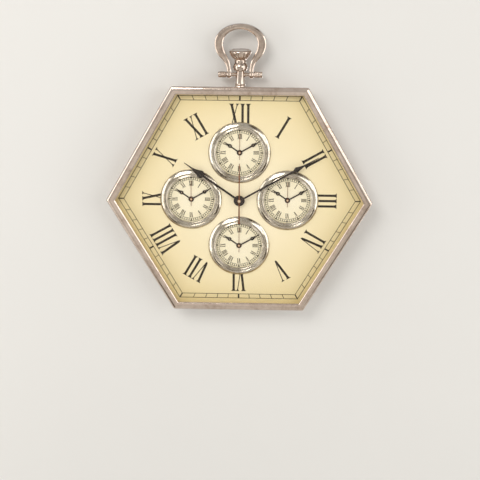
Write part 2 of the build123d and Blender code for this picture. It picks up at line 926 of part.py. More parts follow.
def hand(outline, hub_radius, bore, angle, low, thickness):
    """Flat hand turned clockwise from twelve, its hub bored for the pipe that carries it."""
    face = outline + Circle(hub_radius) - Circle(bore)
    return Pos(0, 0, low) * Rot(0, 0, -angle) * extrude(face, thickness)


def hour_hand():
    bulb = (hour_bulb_start, hour_bulb_peak, hour_bulb_end)
    widths = (hour_shaft_width, hour_bulb_width, bulb_neck_width, hand_tip_width)
    outline = spade_outline(hour_hand_length, bulb, widths)
    low = dial_top + hour_hand_rise
    return hand(outline, hour_hub_radius, hour_pipe_radius, hour_hand_angle, low, hour_hand_thickness)


def minute_hand():
    bulb = (minute_bulb_start, minute_bulb_peak, minute_bulb_end)
    widths = (minute_shaft_width, minute_bulb_width, bulb_neck_width, hand_tip_width)
    outline = spade_outline(minute_hand_length, bulb, widths)
    low = dial_top + minute_hand_rise
    thickness = minute_hand_thickness
    return hand(outline, minute_hub_radius, minute_pipe_radius, minute_hand_angle, low, thickness)


def second_hand():
    """Fine sweep hand with a long tail that ends in a small flared foot, under a round cap."""
    tip = second_tip_width / 2
    tail = second_tail_width / 2
    foot = second_foot_width / 2
    end = -second_tail_length
    neck_end = end + second_foot_length
    right = [(tip, second_hand_length), (tail, neck_end), (foot, end)]
    left = [(-x, y) for x, y in reversed(right)]
    face = Polygon(*left, *right, align=None)
    low = dial_top + second_hand_rise
    body = Pos(0, 0, low) * extrude(face + Circle(second_hub_radius), second_hand_thickness)
    cap = rod(second_hub_radius, low, low + second_cap_height)
    cap = chamfer(cap.edges().group_by(Axis.Z)[-1], second_cap_edge)
    return body + cap - rod(arbor_radius, low - overrun, low + second_hand_thickness)


def tooth_points(teeth, module, phase):
    """Outline of a gear: each tooth is a tapered stub between the root and the tip circle."""
    pitch = 2 * math.pi / teeth
    tip_radius = module * (teeth / 2 + tooth_addendum_share)
    root_radius = module * (teeth / 2 - tooth_dedendum_share)
    root = tooth_root_share * pitch / 2
    tip = tooth_tip_share * pitch / 2
    flanks = ((root_radius, -root), (tip_radius, -tip), (tip_radius, tip), (root_radius, root))
    points = []
    for k in range(teeth):
        for radius, angle in flanks:
            turn = phase + k * pitch + angle
            points.append((radius * math.cos(turn), radius * math.sin(turn)))
    return points


def gear(teeth, module, phase, bore, low, thickness):
    face = Polygon(*tooth_points(teeth, module, phase), align=None)
    if bore:
        face -= Circle(bore)
    return Pos(0, 0, low) * extrude(face, thickness)


def meshing_phase(teeth, phase, direction, mate_teeth):
    """Phase of the mate, so that its teeth fall in the gaps of the first gear where the two meet."""
    along = math.radians(direction)
    offset = (along - phase) * teeth / (2 * math.pi)
    return along + math.pi - (half_share - offset) * 2 * math.pi / mate_teeth


def gear_level(level):
    return cover_top + level


def second_wheel():
    """Wheel that turns once a minute, with its pinion, on the long arbor of the second hand."""
    low = gear_level(second_level)
    body = gear(second_teeth, second_module, 0, 0, low, wheel_thickness)
    length = third_level + pinion_lap / 2 - second_level
    body += gear(second_pinion_teeth, third_module, 0, 0, low + wheel_thickness, length)
    top = dial_top + second_hand_rise + second_hand_thickness
    return body + rod(arbor_radius, cover_top - pivot_depth, top)


def intermediate_wheel():
    phase = meshing_phase(second_teeth, 0, intermediate_direction, intermediate_pinion_teeth)
    low = gear_level(intermediate_level)
    body = gear(intermediate_teeth, rotor_module, 0, 0, low, wheel_thickness)
    length = second_level + pinion_lap - intermediate_level
    body += gear(intermediate_pinion_teeth, second_module, phase, 0, low + wheel_thickness, length)
    body += rod(arbor_radius, cover_top - pivot_depth, gear_level(bridge_level) + bridge_thickness)
    return Pos(intermediate_x, intermediate_y, 0) * body


def rotor():
    """Round magnet with its six-leaf pinion."""
    phase = meshing_phase(intermediate_teeth, 0, rotor_direction, rotor_teeth)
    low = gear_level(intermediate_level) - pinion_lap / 2
    body = gear(rotor_teeth, rotor_module, phase, 0, low, wheel_thickness + pinion_lap)
    body += rod(magnet_radius, gear_level(magnet_level), gear_level(magnet_level) + magnet_height)
    body += rod(arbor_radius, cover_top - pivot_depth, gear_level(bridge_level) + bridge_thickness)
    return Pos(rotor_x, rotor_y, 0) * body


def third_phase():
    return meshing_phase(second_pinion_teeth, 0, third_direction, third_teeth)


def third_wheel():
    low = gear_level(third_level)
    body = gear(third_teeth, third_module, third_phase(), 0, low, wheel_thickness)
    length = centre_level + pinion_lap - third_level
    body += gear(third_pinion_teeth, centre_module, 0, 0, low + wheel_thickness, length)
    body += rod(arbor_radius, cover_top - pivot_depth, housing_roof + pivot_depth)
    return Pos(third_x, third_y, 0) * body


def centre_wheel():
    """Wheel and cannon pinion on the pipe of the minute hand."""
    phase = meshing_phase(third_pinion_teeth, 0, third_direction + half_turn_angle, centre_teeth)
    bore = arbor_radius + arbor_fit
    low = gear_level(centre_level)
    body = gear(centre_teeth, centre_module, phase, bore, low, wheel_thickness)
    cannon_low = gear_level(cannon_level)
    cannon_top = gear_level(minute_level) + wheel_thickness + pinion_lap
    body += gear(cannon_teeth, minute_module, 0, bore, cannon_low, cannon_top - cannon_low)
    top = dial_top + minute_hand_rise + minute_hand_thickness
    return body + tube(minute_pipe_radius, bore, low, top)


def minute_wheel():
    """Wheel that carries the motion down to the hour wheel, on the arbor of the setting knob."""
    phase = meshing_phase(cannon_teeth, 0, minute_direction, minute_teeth)
    low = gear_level(minute_level)
    body = gear(minute_teeth, minute_module, phase, 0, low, wheel_thickness)
    length = hour_level + pinion_lap - minute_level
    body += gear(minute_pinion_teeth, hour_module, 0, 0, low + wheel_thickness, length)
    body += rod(knob_arbor_radius, setting_knob_low(), housing_roof + pivot_depth)
    return Pos(minute_x, minute_y, 0) * body


def setting_knob_low():
    return movement_back - setting_knob_gap - setting_knob_height


def setting_knob():
    top = movement_back - setting_knob_gap
    body = tube(setting_knob_radius, knob_arbor_radius, setting_knob_low(), top)
    slot = Box(2 * setting_knob_radius, screw_slot_width, 2 * screw_slot_depth)
    body -= Pos(0, 0, setting_knob_low()) * slot
    return Pos(minute_x, minute_y, 0) * body


def hour_wheel():
    """Wheel on the pipe of the hour hand, which turns in the threaded bushing."""
    phase = meshing_phase(minute_pinion_teeth, 0, minute_direction + half_turn_angle, hour_teeth)
    bore = minute_pipe_radius + pipe_fit
    low = gear_level(hour_level)
    body = gear(hour_teeth, hour_module, phase, bore, low, wheel_thickness)
    return body + tube(hour_pipe_radius, bore, low, dial_top + hour_hand_rise + hour_hand_thickness)


def pillar_places():
    return [(-pillar_across / 2, pillar_rise), (pillar_across / 2, pillar_rise)]


def movement_case():
    """Front housing: a gear bay, an open battery bay below it and the threaded bushing."""
    body = block(movement_width, movement_height, movement_back, movement_front, 0, 0, movement_corner)
    inside = movement_width - 2 * movement_wall
    low = movement_back - overrun
    body -= block(inside, battery_bay_height, low, movement_front - battery_wall, 0, battery_height)
    gear_height = half_side - movement_wall - gear_bay_low
    body -= block(inside, gear_height, low, housing_roof, 0, gear_bay_low + gear_height / 2)
    for x, y in pillar_places():
        body += rod(pillar_radius, gear_level(bridge_level) + bridge_thickness, housing_roof, x, y)
        body += rod(pillar_tip_radius, gear_level(bridge_level), housing_roof, x, y)
    body += rod(bushing_radius, housing_roof, bushing_top)
    body -= rod(bushing_bore, housing_roof - overrun, bushing_top + overrun)
    for x, y, radius in ((third_x, third_y, arbor_radius), (minute_x, minute_y, knob_arbor_radius)):
        body -= rod(radius + arbor_fit, housing_roof - overrun, housing_roof + pivot_depth, x, y)
    return body


def movement_cover():
    """Rear cover of the gear bay, with a pivot hole for each arbor."""
    width = movement_width - 2 * movement_wall - 2 * cover_gap
    height = half_side - movement_wall - gear_bay_low - 2 * cover_gap
    body = block(width, height, movement_back, cover_top, 0, gear_bay_low + cover_gap + height / 2)
    pivots = ((0, 0), (intermediate_x, intermediate_y), (rotor_x, rotor_y), (third_x, third_y))
    pivot_low = cover_top - pivot_depth - arbor_fit
    for x, y in pivots:
        body -= rod(arbor_radius + arbor_fit, pivot_low, cover_top + overrun, x, y)
    return body - rod(knob_arbor_radius + arbor_fit, 0, cover_top + overrun, minute_x, minute_y)


def train_bridge():
    """Small plate on two pillars, which carries the upper pivots beside the centre."""
    low = gear_level(bridge_level)
    height = bridge_high - bridge_low
    body = block(2 * bridge_half_width, height, low, low + bridge_thickness, 0, bridge_low + height / 2)
    holes = [
        (intermediate_x, intermediate_y, arbor_radius),
        (rotor_x, rotor_y, arbor_radius),
        (minute_x, minute_y, knob_arbor_radius),
    ]
    for x, y, radius in holes:
        body -= rod(radius + arbor_fit, 0, case_depth, x, y)
    for x, y in pillar_places():
        body -= rod(pillar_tip_radius, 0, case_depth, x, y)
    return body


def dial_nut():
    return hex_nut(dial_nut_across_flats, bushing_radius, dial_top, dial_top + dial_nut_thickness)


def rubber_washer():
    return tube(washer_radius, bushing_radius + bushing_gap, movement_front, dial_bottom)


def battery():
    """One AA cell lying across the bay, its raised pole to the right."""
    end = battery_length / 2
    body = cross_rod(battery_radius, -end, end, battery_height, battery_level)
    tip_end = end + battery_tip_length
    return body + cross_rod(battery_tip_radius, end, tip_end, battery_height, battery_level)


def battery_contacts():
    """Flat spring contact at each end of the battery."""
    low = contact_level - contact_height / 2
    high = contact_level + contact_height / 2
    wall = half_width - movement_wall
    contacts = []
    for left, right in ((-wall, -battery_length / 2), (battery_length / 2 + battery_tip_length, wall)):
        middle = (left + right) / 2
        contacts.append(block(right - left, contact_width, low, high, middle, battery_height))
    return group(contacts)


def circuit_board():
    """Narrow board down the right side of the gear bay, with its chip and crystal."""
    right = half_width - movement_wall - board_gap
    low = gear_bay_low + board_low_gap
    high = half_side - movement_wall - board_low_gap
    level = gear_level(board_level)
    middle = right - board_width / 2
    body = block(board_width, high - low, level, level + board_thickness, middle, (low + high) / 2)
    top = level + board_thickness + chip_height
    body += block(chip_side, chip_side, level, top, middle, (low + high) / 2)
    return body + block(crystal_width, crystal_length, level, top, middle, high - crystal_length)


def coil_height():
    return half_side - movement_wall - coil_inset - coil_radius


def coil_level():
    return gear_level(stator_level) + stator_thickness / 2


def coil():
    return cross_rod(coil_radius, -coil_half_length, coil_half_length, coil_height(), coil_level())


def stator():
    """Iron plate round the magnet, closed at the top by the core of the coil."""
    pinion_tip = second_module * (intermediate_pinion_teeth / 2 + tooth_addendum_share)
    low = intermediate_y + pinion_tip + stator_bottom_gap
    high = coil_height() + coil_core_radius
    level = gear_level(stator_level)
    top = level + stator_thickness
    body = block(2 * stator_half_width, high - low, level, top, 0, (low + high) / 2)
    gap_low = coil_height() - coil_radius - stator_gap
    gap_width = 2 * (coil_half_length + stator_gap)
    body -= block(gap_width, high - gap_low + overrun, 0, case_depth, 0, (gap_low + high + overrun) / 2)
    return body - rod(magnet_radius + stator_gap, 0, case_depth, rotor_x, rotor_y)


def small_hour_hand():
    bulb = (small_hour_bulb_start, small_hour_bulb_peak, small_hour_bulb_end)
    widths = (small_shaft_width, small_hour_bulb_width, small_neck_width, small_tip_width)
    outline = spade_outline(small_hour_length, bulb, widths)
    outline -= Pos(0, small_hour_bulb_peak) * Circle(small_bulb_hole_radius)
    bore = small_minute_pipe_radius + pipe_fit
    low = small_dial_top + small_hour_rise
    body = hand(outline, small_hour_hub_radius, bore, hour_hand_angle, low, small_hand_thickness)
    top = low + small_hand_thickness
    return body + tube(small_hour_pipe_radius, bore, small_pipe_bottom() + pipe_fit, top)


def small_minute_hand():
    bulb = (small_minute_bulb_start, small_minute_bulb_peak, small_minute_bulb_end)
    widths = (small_shaft_width, small_minute_bulb_width, small_neck_width, small_tip_width)
    outline = spade_outline(small_minute_length, bulb, widths)
    outline -= Pos(0, small_minute_bulb_peak) * Circle(small_bulb_hole_radius)
    bore = small_second_arbor_radius + pipe_fit
    low = small_dial_top + small_minute_rise
    body = hand(outline, small_minute_hub_radius, bore, minute_hand_angle, low, small_hand_thickness)
    top = low + small_hand_thickness
    return body + tube(small_minute_pipe_radius, bore, small_pipe_bottom() + pipe_fit, top)


def small_second_hand():
    length = small_second_length + small_second_tail
    middle = (small_second_length - small_second_tail) / 2
    low = small_dial_top + small_second_rise
    top = low + small_second_thickness
    body = block(small_second_width, length, low, top, 0, middle)
    body += rod(small_second_hub_radius, low, top)
    return body + rod(small_second_arbor_radius, small_pipe_bottom() + pipe_fit, top)


def stand_up(shape):
    """Turn a piece from lying on its back to hanging on the wall, with the keyhole at the origin."""
    return Plane.XZ.location * Pos(0, -hang_height, 0) * shape


def all_pieces():
    pieces = {
        "case_bezel": case_bezel(),
        "case_band": case_band(),
        "back_panel": back_panel(),
        "front_glass": front_glass(),
        "glass_gasket": glass_gasket(),
        "glass_spacer": glass_spacer(),
        "main_dial": main_dial(),
        "hanger_plate": hanger_plate(),
        "hanger_rivets": hanger_rivets(),
        "wall_pads": wall_pads(),
        "back_screws": back_screws(),
        "bezel_screws": bezel_screws(),
        "neck": neck(),
        "neck_nut": neck_nut(),
        "crown": crown(),
        "bail": bail(),
        "bail_pin": bail_pin(),
        "pin_knobs": pin_knobs(),
        "movement_case": movement_case(),
        "movement_cover": movement_cover(),
        "train_bridge": train_bridge(),
        "battery": battery(),
        "battery_contacts": battery_contacts(),
        "circuit_board": circuit_board(),
        "coil": coil(),
        "stator": stator(),
        "rotor": rotor(),
        "intermediate_wheel": intermediate_wheel(),
        "second_wheel": second_wheel(),
        "third_wheel": third_wheel(),
        "centre_wheel": centre_wheel(),
        "minute_wheel": minute_wheel(),
        "setting_knob": setting_knob(),
        "hour_wheel": hour_wheel(),
        "dial_nut": dial_nut(),
        "rubber_washer": rubber_washer(),
        "hour_hand": hour_hand(),
        "minute_hand": minute_hand(),
        "second_hand": second_hand(),
    }
    for name, (x, y) in small_places.items():
        pieces[name + "_bezel"] = small_bezel(x, y)
        pieces[name + "_hour_hand"] = Pos(x, y, 0) * small_hour_hand()
        pieces[name + "_minute_hand"] = Pos(x, y, 0) * small_minute_hand()
        pieces[name + "_second_hand"] = Pos(x, y, 0) * small_second_hand()
    groups = {
        "small_cans": small_can,
        "small_movements": small_movement,
        "small_dials": small_dial,
        "small_lenses": small_lens,
    }
    for name, make in groups.items():
        pieces[name] = group([make(x, y) for x, y in small_places.values()])
    return pieces


def main():
    os.makedirs("parts", exist_ok=True)
    for name, shape in all_pieces().items():
        export_step(stand_up(shape), "parts/" + name + ".step")


main()
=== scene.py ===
import json
import math

import bmesh
import bpy
import numpy as np
from mathutils import Matrix, Vector


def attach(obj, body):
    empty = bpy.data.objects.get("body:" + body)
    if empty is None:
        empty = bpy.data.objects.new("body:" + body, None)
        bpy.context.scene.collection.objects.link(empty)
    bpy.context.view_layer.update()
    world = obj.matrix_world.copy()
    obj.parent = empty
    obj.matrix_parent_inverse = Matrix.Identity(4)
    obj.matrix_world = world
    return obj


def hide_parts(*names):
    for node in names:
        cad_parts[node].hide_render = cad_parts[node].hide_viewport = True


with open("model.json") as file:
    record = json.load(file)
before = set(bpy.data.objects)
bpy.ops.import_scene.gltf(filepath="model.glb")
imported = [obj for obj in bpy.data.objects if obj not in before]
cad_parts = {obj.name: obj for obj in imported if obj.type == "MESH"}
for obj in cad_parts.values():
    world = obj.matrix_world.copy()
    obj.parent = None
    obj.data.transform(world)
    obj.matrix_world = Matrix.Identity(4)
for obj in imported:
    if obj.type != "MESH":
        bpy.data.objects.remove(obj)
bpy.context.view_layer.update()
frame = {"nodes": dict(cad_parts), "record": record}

# Sizes in mm on the maker's bench: x to the right, y up the dial from its centre, z out from the wall.
HANG_HEIGHT = 128.0
DIAL_TOP = 25.0
SIDES = 6
CORNER_REACH = 192.5
FACE_WIDTH = 11.4
SKIRT_WALL = 2.1
SKIRT_LEAN = math.radians(12)
CASE_APOTHEM = CORNER_REACH * math.cos(math.pi / SIDES)
OPENING_APOTHEM = CASE_APOTHEM - FACE_WIDTH
SKIRT_SLOPE = math.tan(SKIRT_LEAN)
SEAM = 28.0
WIDEST = 36.1
FRONT = 39.0
LIP = 37.0
SKIRT_OUTER = CASE_APOTHEM - (WIDEST - SEAM) * SKIRT_SLOPE
SKIRT_INNER = SKIRT_OUTER - SKIRT_WALL
PIN_HEIGHT = 181.0
NECK_DEPTH = 16.5
TRACK_OUTER = 152.3
TRACK_INNER = 145.7
TRACK_HALF = 0.42
PRINT_RISE = 0.04
MARK_RISE = 0.055
NUMERAL_TOP = 141.2
NUMERAL_HEIGHT = 34.3
SMALL_DISTANCE = 70.0
SMALL_DIAL_TOP = 23.6
SMALL_PRINT_RISE = 0.03
SMALL_PLACES = {
    "top": (0.0, SMALL_DISTANCE),
    "right": (SMALL_DISTANCE, 0.0),
    "bottom": (0.0, -SMALL_DISTANCE),
    "left": (-SMALL_DISTANCE, 0.0),
}


def to_row(points):
    """Bench millimetres to the clock's own frame in metres: the dial is stood up to face -Y."""
    points = np.asarray(points, dtype=float)
    x, y, z = points[..., 0], points[..., 1], points[..., 2]
    return np.stack([x, -z, y - HANG_HEIGHT], axis=-1) * 0.001


def sheet(points, wrap_rows=False, wrap_columns=False):
    """Quads over a grid of points; a wrapped direction joins its last line to its first."""
    points = np.asarray(points, dtype=float)
    rows, columns = points.shape[:2]
    index = np.arange(rows * columns).reshape(rows, columns)
    if wrap_rows:
        index = np.concatenate([index, index[:1]], axis=0)
    if wrap_columns:
        index = np.concatenate([index, index[:, :1]], axis=1)
    quads = np.stack([index[:-1, :-1], index[1:, :-1], index[1:, 1:], index[:-1, 1:]], axis=-1)
    return points.reshape(-1, 3), quads.reshape(-1, 4)


def turned(profile, segments, flute=None):
    """Profile of (radius, height) turned about an upright axis: x = r cos t, y = r sin t, z = height.

    A flute function of (angle, profile) may take some depth off the radius."""
    profile = np.asarray(profile, dtype=float)
    angle = np.linspace(0, 2 * math.pi, segments, endpoint=False)[:, None]
    radius = profile[None, :, 0] + (flute(angle, profile) if flute else np.zeros((segments, 1)))
    height = np.broadcast_to(profile[None, :, 1], radius.shape)
    return np.stack([radius * np.cos(angle), radius * np.sin(angle), height], axis=-1)


def along(points, axis, at=(0.0, 0.0, 0.0)):
    """Points drawn round z, turned to run along x or y instead, and moved to their place."""
    x, y, z = points[..., 0], points[..., 1], points[..., 2]
    order = {"z": (x, y, z), "y": (y, z, x), "x": (z, x, y)}[axis]
    return np.stack(order, axis=-1) + np.asarray(at, dtype=float)


def eased(corners, radius, steps=5, closed=False):
    """Polyline whose corners are replaced by short parabolas that touch both neighbours."""
    corners = np.asarray(corners, dtype=float)
    t = np.linspace(0, 1, steps)[:, None]
    count = len(corners)
    line = []
    for k in range(count):
        if not closed and k in (0, count - 1):
            line.append(corners[k][None])
            continue
        before, here, after = corners[k - 1], corners[k], corners[(k + 1) % count]
        cut = min(radius, np.linalg.norm(before - here) / 2.1, np.linalg.norm(after - here) / 2.1)
        start = here + (before - here) / np.linalg.norm(before - here) * cut
        end = here + (after - here) / np.linalg.norm(after - here) * cut
        line.append((1 - t) ** 2 * start + 2 * t * (1 - t) * here + t ** 2 * end)
    return np.concatenate(line)


def hexagon_run(profile, corner_steps=9):
    """Profile of (apothem, level, corner radius) carried round the case.

    Each corner is an arc whose centre lies on the corner's ray, far enough in to touch both sides."""
    profile = np.asarray(profile, dtype=float)
    apothem, level, corner = profile[None, :, 0], profile[None, :, 1], profile[None, :, 2]
    half = math.pi / SIDES
    middle = np.repeat(np.arange(SIDES) * 2 * half, corner_steps)[:, None]
    swing = np.tile(np.linspace(-half, half, corner_steps), SIDES)[:, None]
    centre = (apothem - corner) / math.cos(half)
    x = centre * np.cos(middle) + corner * np.cos(middle + swing)
    y = centre * np.sin(middle) + corner * np.sin(middle + swing)
    return np.stack([x, y, np.broadcast_to(level, x.shape)], axis=-1)


def add(name, parts, finish, body, stands_for=(), sharp=38.0, closed=True):
    """Makes one piece from sheets in bench millimetres, welds its seams and lets it ride on a body."""
    vertices, faces, start = [], [], 0
    for points, quads in parts:
        vertices.append(points)
        faces.append(quads + start)
        start += len(points)
    mesh = bpy.data.meshes.new(name)
    mesh.from_pydata(to_row(np.concatenate(vertices)).tolist(), [], np.concatenate(faces).tolist())
    shape = bmesh.new()
    shape.from_mesh(mesh)
    if closed:
        bmesh.ops.remove_doubles(shape, verts=shape.verts, dist=2e-6)
        bmesh.ops.recalc_face_normals(shape, faces=shape.faces)
    shape.to_mesh(mesh)
    shape.free()
    mesh.shade_smooth()
    mesh.set_sharp_from_angle(angle=math.radians(sharp))
    piece = bpy.data.objects.new(name, mesh)
    bpy.context.scene.collection.objects.link(piece)
    mesh.materials.append(finish)
    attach(piece, body)
    if stands_for:
        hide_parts(*stands_for)
    return piece


# Finishes: shared effects first, then one material for each slot of the record

def effect(name, inputs, outputs):
    """Empty shader node group with named number inputs and number outputs."""
    tree = bpy.data.node_groups.new(name, "ShaderNodeTree")
    for label, value in inputs.items():
        socket = tree.interface.new_socket(name=label, in_out="INPUT", socket_type="NodeSocketFloat")
        socket.default_value = value
    for label in outputs:
        tree.interface.new_socket(name=label, in_out="OUTPUT", socket_type="NodeSocketFloat")
    return tree, tree.nodes.new("NodeGroupInput"), tree.nodes.new("NodeGroupOutput")


def noise(tree, vector, scale, detail, roughness=0.55):
    node = tree.nodes.new("ShaderNodeTexNoise")
    node.inputs["Scale"].default_value = scale
    node.inputs["Detail"].default_value = detail
    node.inputs["Roughness"].default_value = roughness
    tree.links.new(vector, node.inputs["Vector"])
    return node


def spread(tree, value, low, high, to_low=0.0, to_high=1.0):
    """Maps a span of values onto another and clamps it."""
    node = tree.nodes.new("ShaderNodeMapRange")
    for label, number in (("From Min", low), ("From Max", high), ("To Min", to_low), ("To Max", to_high)):
        node.inputs[label].default_value = number
    tree.links.new(value, node.inputs["Value"])
    return node.outputs["Result"]


def maths(tree, operation, first, second=None, clamp=False):
    node = tree.nodes.new("ShaderNodeMath")
    node.operation = operation
    node.use_clamp = clamp
    for k, value in enumerate((first, second)):
        if value is None:
            continue
        if isinstance(value, (int, float)):
            node.inputs[k].default_value = value
        else:
            tree.links.new(value, node.inputs[k])
    return node.outputs[0]


def object_place(tree):
    return tree.nodes.new("ShaderNodeTexCoord").outputs["Object"]


def stretched(tree, vector, stretch, turn=(0.0, 0.0, 0.0)):
    node = tree.nodes.new("ShaderNodeMapping")
    node.inputs["Scale"].default_value = stretch
    node.inputs["Rotation"].default_value = turn
    tree.links.new(vector, node.inputs["Vector"])
    return node.outputs["Vector"]


def make_polish():
    """Hand-polished metal: hairlines in two directions, broad clouds that are partly tarnish and partly painted
    dark reflection, and soft buffing waves.
    """
    tree, inside, outside = effect("hand polish", {"Fineness": 1.0}, ("Hairlines", "Tarnish and Sheen", "Waves"))
    place = object_place(tree)
    first = noise(tree, stretched(tree, place, (1.0, 1.0, 26.0), (0.2, 0.5, 0.3)), 140.0, 5.0, 0.7)
    second = noise(tree, stretched(tree, place, (24.0, 1.0, 1.0), (0.7, -0.3, -0.4)), 170.0, 5.0, 0.7)
    tree.links.new(maths(tree, "MULTIPLY", inside.outputs["Fineness"], 140.0), first.inputs["Scale"])
    lines = maths(tree, "MULTIPLY", spread(tree, first.outputs[0], 0.42, 0.72), 0.6)
    lines = maths(tree, "ADD", lines, maths(tree, "MULTIPLY", spread(tree, second.outputs[0], 0.5, 0.75), 0.4))
    tree.links.new(lines, outside.inputs["Hairlines"])
    # broad dark clouds: partly tarnish, partly painted dark reflections on the polished metal
    clouds = noise(tree, place, 34.0, 5.0, 0.6)
    spots = noise(tree, place, 210.0, 3.0, 0.6)
    broad = spread(tree, clouds.outputs[0], 0.4, 0.72)
    small = spread(tree, spots.outputs[0], 0.2, 0.75)
    tree.links.new(maths(tree, "MULTIPLY", broad, small), outside.inputs["Tarnish and Sheen"])
    tree.links.new(noise(tree, place, 16.0, 1.5, 0.4).outputs[0], outside.inputs["Waves"])
    return tree


def make_grain():
    """Moulded or painted surface: a fine grain, and broad patches where it is a little paler."""
    scales = {"Grain Scale": 1800.0, "Patch Scale": 40.0}
    tree, inside, outside = effect("fine grain", scales, ("Grain", "Patches"))
    place = object_place(tree)
    grain = noise(tree, place, 1800.0, 3.0, 0.6)
    tree.links.new(inside.outputs["Grain Scale"], grain.inputs["Scale"])
    tree.links.new(grain.outputs[0], outside.inputs["Grain"])
    patch = noise(tree, place, 40.0, 4.0, 0.6)
    tree.links.new(inside.outputs["Patch Scale"], patch.inputs["Scale"])
    tree.links.new(spread(tree, patch.outputs[0], 0.35, 0.7), outside.inputs["Patches"])
    return tree


HAND_POLISH = make_polish()
FINE_GRAIN = make_grain()
FINISHES = {}


def linear(colour):
    """Screen colour in 0 to 255, as it is seen, to the linear values that the shader takes."""
    part = np.asarray(colour, dtype=float) / 255
    value = np.where(part <= 0.04045, part / 12.92, ((part + 0.055) / 1.055) ** 2.4)
    return (*value.tolist(), 1.0)


def new_finish(slot):
    material = bpy.data.materials.new(slot.replace("_", " "))
    material.use_nodes = True
    material["clock_slot"] = slot
    FINISHES[slot] = material
    tree = material.node_tree
    return tree, tree.nodes["Principled BSDF"]


def grouped(tree, group, **values):
    node = tree.nodes.new("ShaderNodeGroup")
    node.node_tree = group
    for label, value in values.items():
        node.inputs[label.replace("_", " ")].default_value = value
    return node.outputs


def blended(tree, mask, first, second):
    """Colour that goes from the first to the second as the mask goes from 0 to 1."""
    node = tree.nodes.new("ShaderNodeMix")
    node.data_type = "RGBA"
    node.clamp_factor = True
    tree.links.new(mask, node.inputs["Factor"])
    for colour, socket in ((first, node.inputs[6]), (second, node.inputs[7])):
        if isinstance(colour, tuple):
            socket.default_value = colour
        else:
            tree.links.new(colour, socket)
    return node.outputs[2]


def relief(tree, shader, height, distance, strength=1.0):
    node = tree.nodes.new("ShaderNodeBump")
    node.inputs["Strength"].default_value = strength
    node.inputs["Distance"].default_value = distance
    tree.links.new(height, node.inputs["Height"])
    tree.links.new(node.outputs["Normal"], shader.inputs["Normal"])


def metal(slot, pale, dark, rough=0.16, rough_spread=0.14, hair=0.000004, wave=0.0, fineness=1.0):
    """Metal with hairlines and clouds of tarnish that also paint in darker reflections; broad buffing waves bend
    its reflections where asked.
    """
    tree, shader = new_finish(slot)
    marks = grouped(tree, HAND_POLISH, Fineness=fineness)
    # the dark colour under the clouds is partly tarnish and partly a painted dark reflection
    tree.links.new(blended(tree, marks["Tarnish and Sheen"], linear(pale), linear(dark)), shader.inputs["Base Color"])
    shader.inputs["Metallic"].default_value = 1.0
    worn = maths(tree, "MAXIMUM", marks["Hairlines"], marks["Tarnish and Sheen"])
    tree.links.new(spread(tree, worn, 0.0, 1.0, rough, rough + rough_spread), shader.inputs["Roughness"])
    height = maths(tree, "MULTIPLY", marks["Hairlines"], hair)
    if wave:
        height = maths(tree, "ADD", height, maths(tree, "MULTIPLY", marks["Waves"], wave))
    relief(tree, shader, height, 1.0)


def coated(slot, colour, worn_colour, rough=0.5, rough_spread=0.15, bump=0.00001, grain=1800.0, patch=40.0,
           coat=0.0):
    """Paint, plastic or rubber: broad patches of a second tone, fine grain in relief and gloss."""
    tree, shader = new_finish(slot)
    marks = grouped(tree, FINE_GRAIN, Grain_Scale=grain, Patch_Scale=patch)
    mask = maths(tree, "MULTIPLY", marks["Patches"], maths(tree, "ADD", marks["Grain"], 0.35))
    tree.links.new(blended(tree, mask, linear(colour), linear(worn_colour)), shader.inputs["Base Color"])
    gloss = spread(tree, marks["Patches"], 0.0, 1.0, rough, rough + rough_spread)
    tree.links.new(gloss, shader.inputs["Roughness"])
    shader.inputs["Coat Weight"].default_value = coat
    shader.inputs["Coat Roughness"].default_value = 0.12
    relief(tree, shader, maths(tree, "MULTIPLY", marks["Grain"], bump), 1.0)


def see_through(tree, shader, mask):
    """Shows the shader where the mask is 0 and lets light straight through where it is 1."""
    passing = tree.nodes.new("ShaderNodeBsdfTransparent")
    mixed = tree.nodes.new("ShaderNodeMixShader")
    tree.links.new(mask, mixed.inputs[0])
    tree.links.new(shader.outputs["BSDF"], mixed.inputs[1])
    tree.links.new(passing.outputs["BSDF"], mixed.inputs[2])
    tree.links.new(mixed.outputs["Shader"], tree.nodes["Material Output"].inputs["Surface"])


def clear(slot, tint, rough=0.0):
    """Clear pane: light goes straight through it to what lies behind, and faint smears dull its gloss."""
    tree, shader = new_finish(slot)
    shader.inputs["Base Color"].default_value = linear(tint)
    shader.inputs["Transmission Weight"].default_value = 1.0
    shader.inputs["IOR"].default_value = 1.12
    marks = grouped(tree, HAND_POLISH, Fineness=0.6)
    tree.links.new(spread(tree, marks["Tarnish and Sheen"], 0.3, 1.0, rough, rough + 0.004), shader.inputs["Roughness"])
    rays = tree.nodes.new("ShaderNodeLightPath")
    unseen = maths(tree, "MAXIMUM", rays.outputs["Is Shadow Ray"], rays.outputs["Is Diffuse Ray"])
    see_through(tree, shader, unseen)


def vector_maths(tree, operation, vector, other=(0.0, 0.0, 0.0)):
    node = tree.nodes.new("ShaderNodeVectorMath")
    node.operation = operation
    node.inputs[1].default_value = other
    tree.links.new(vector, node.inputs[0])
    return node.outputs["Vector" if operation == "SUBTRACT" else "Value"]


def dot(tree, vector, direction):
    return vector_maths(tree, "DOT_PRODUCT", vector, direction)


def shifted(tree, vector, offset):
    return vector_maths(tree, "SUBTRACT", vector, offset)


def length_of(tree, vector):
    return vector_maths(tree, "LENGTH", vector)


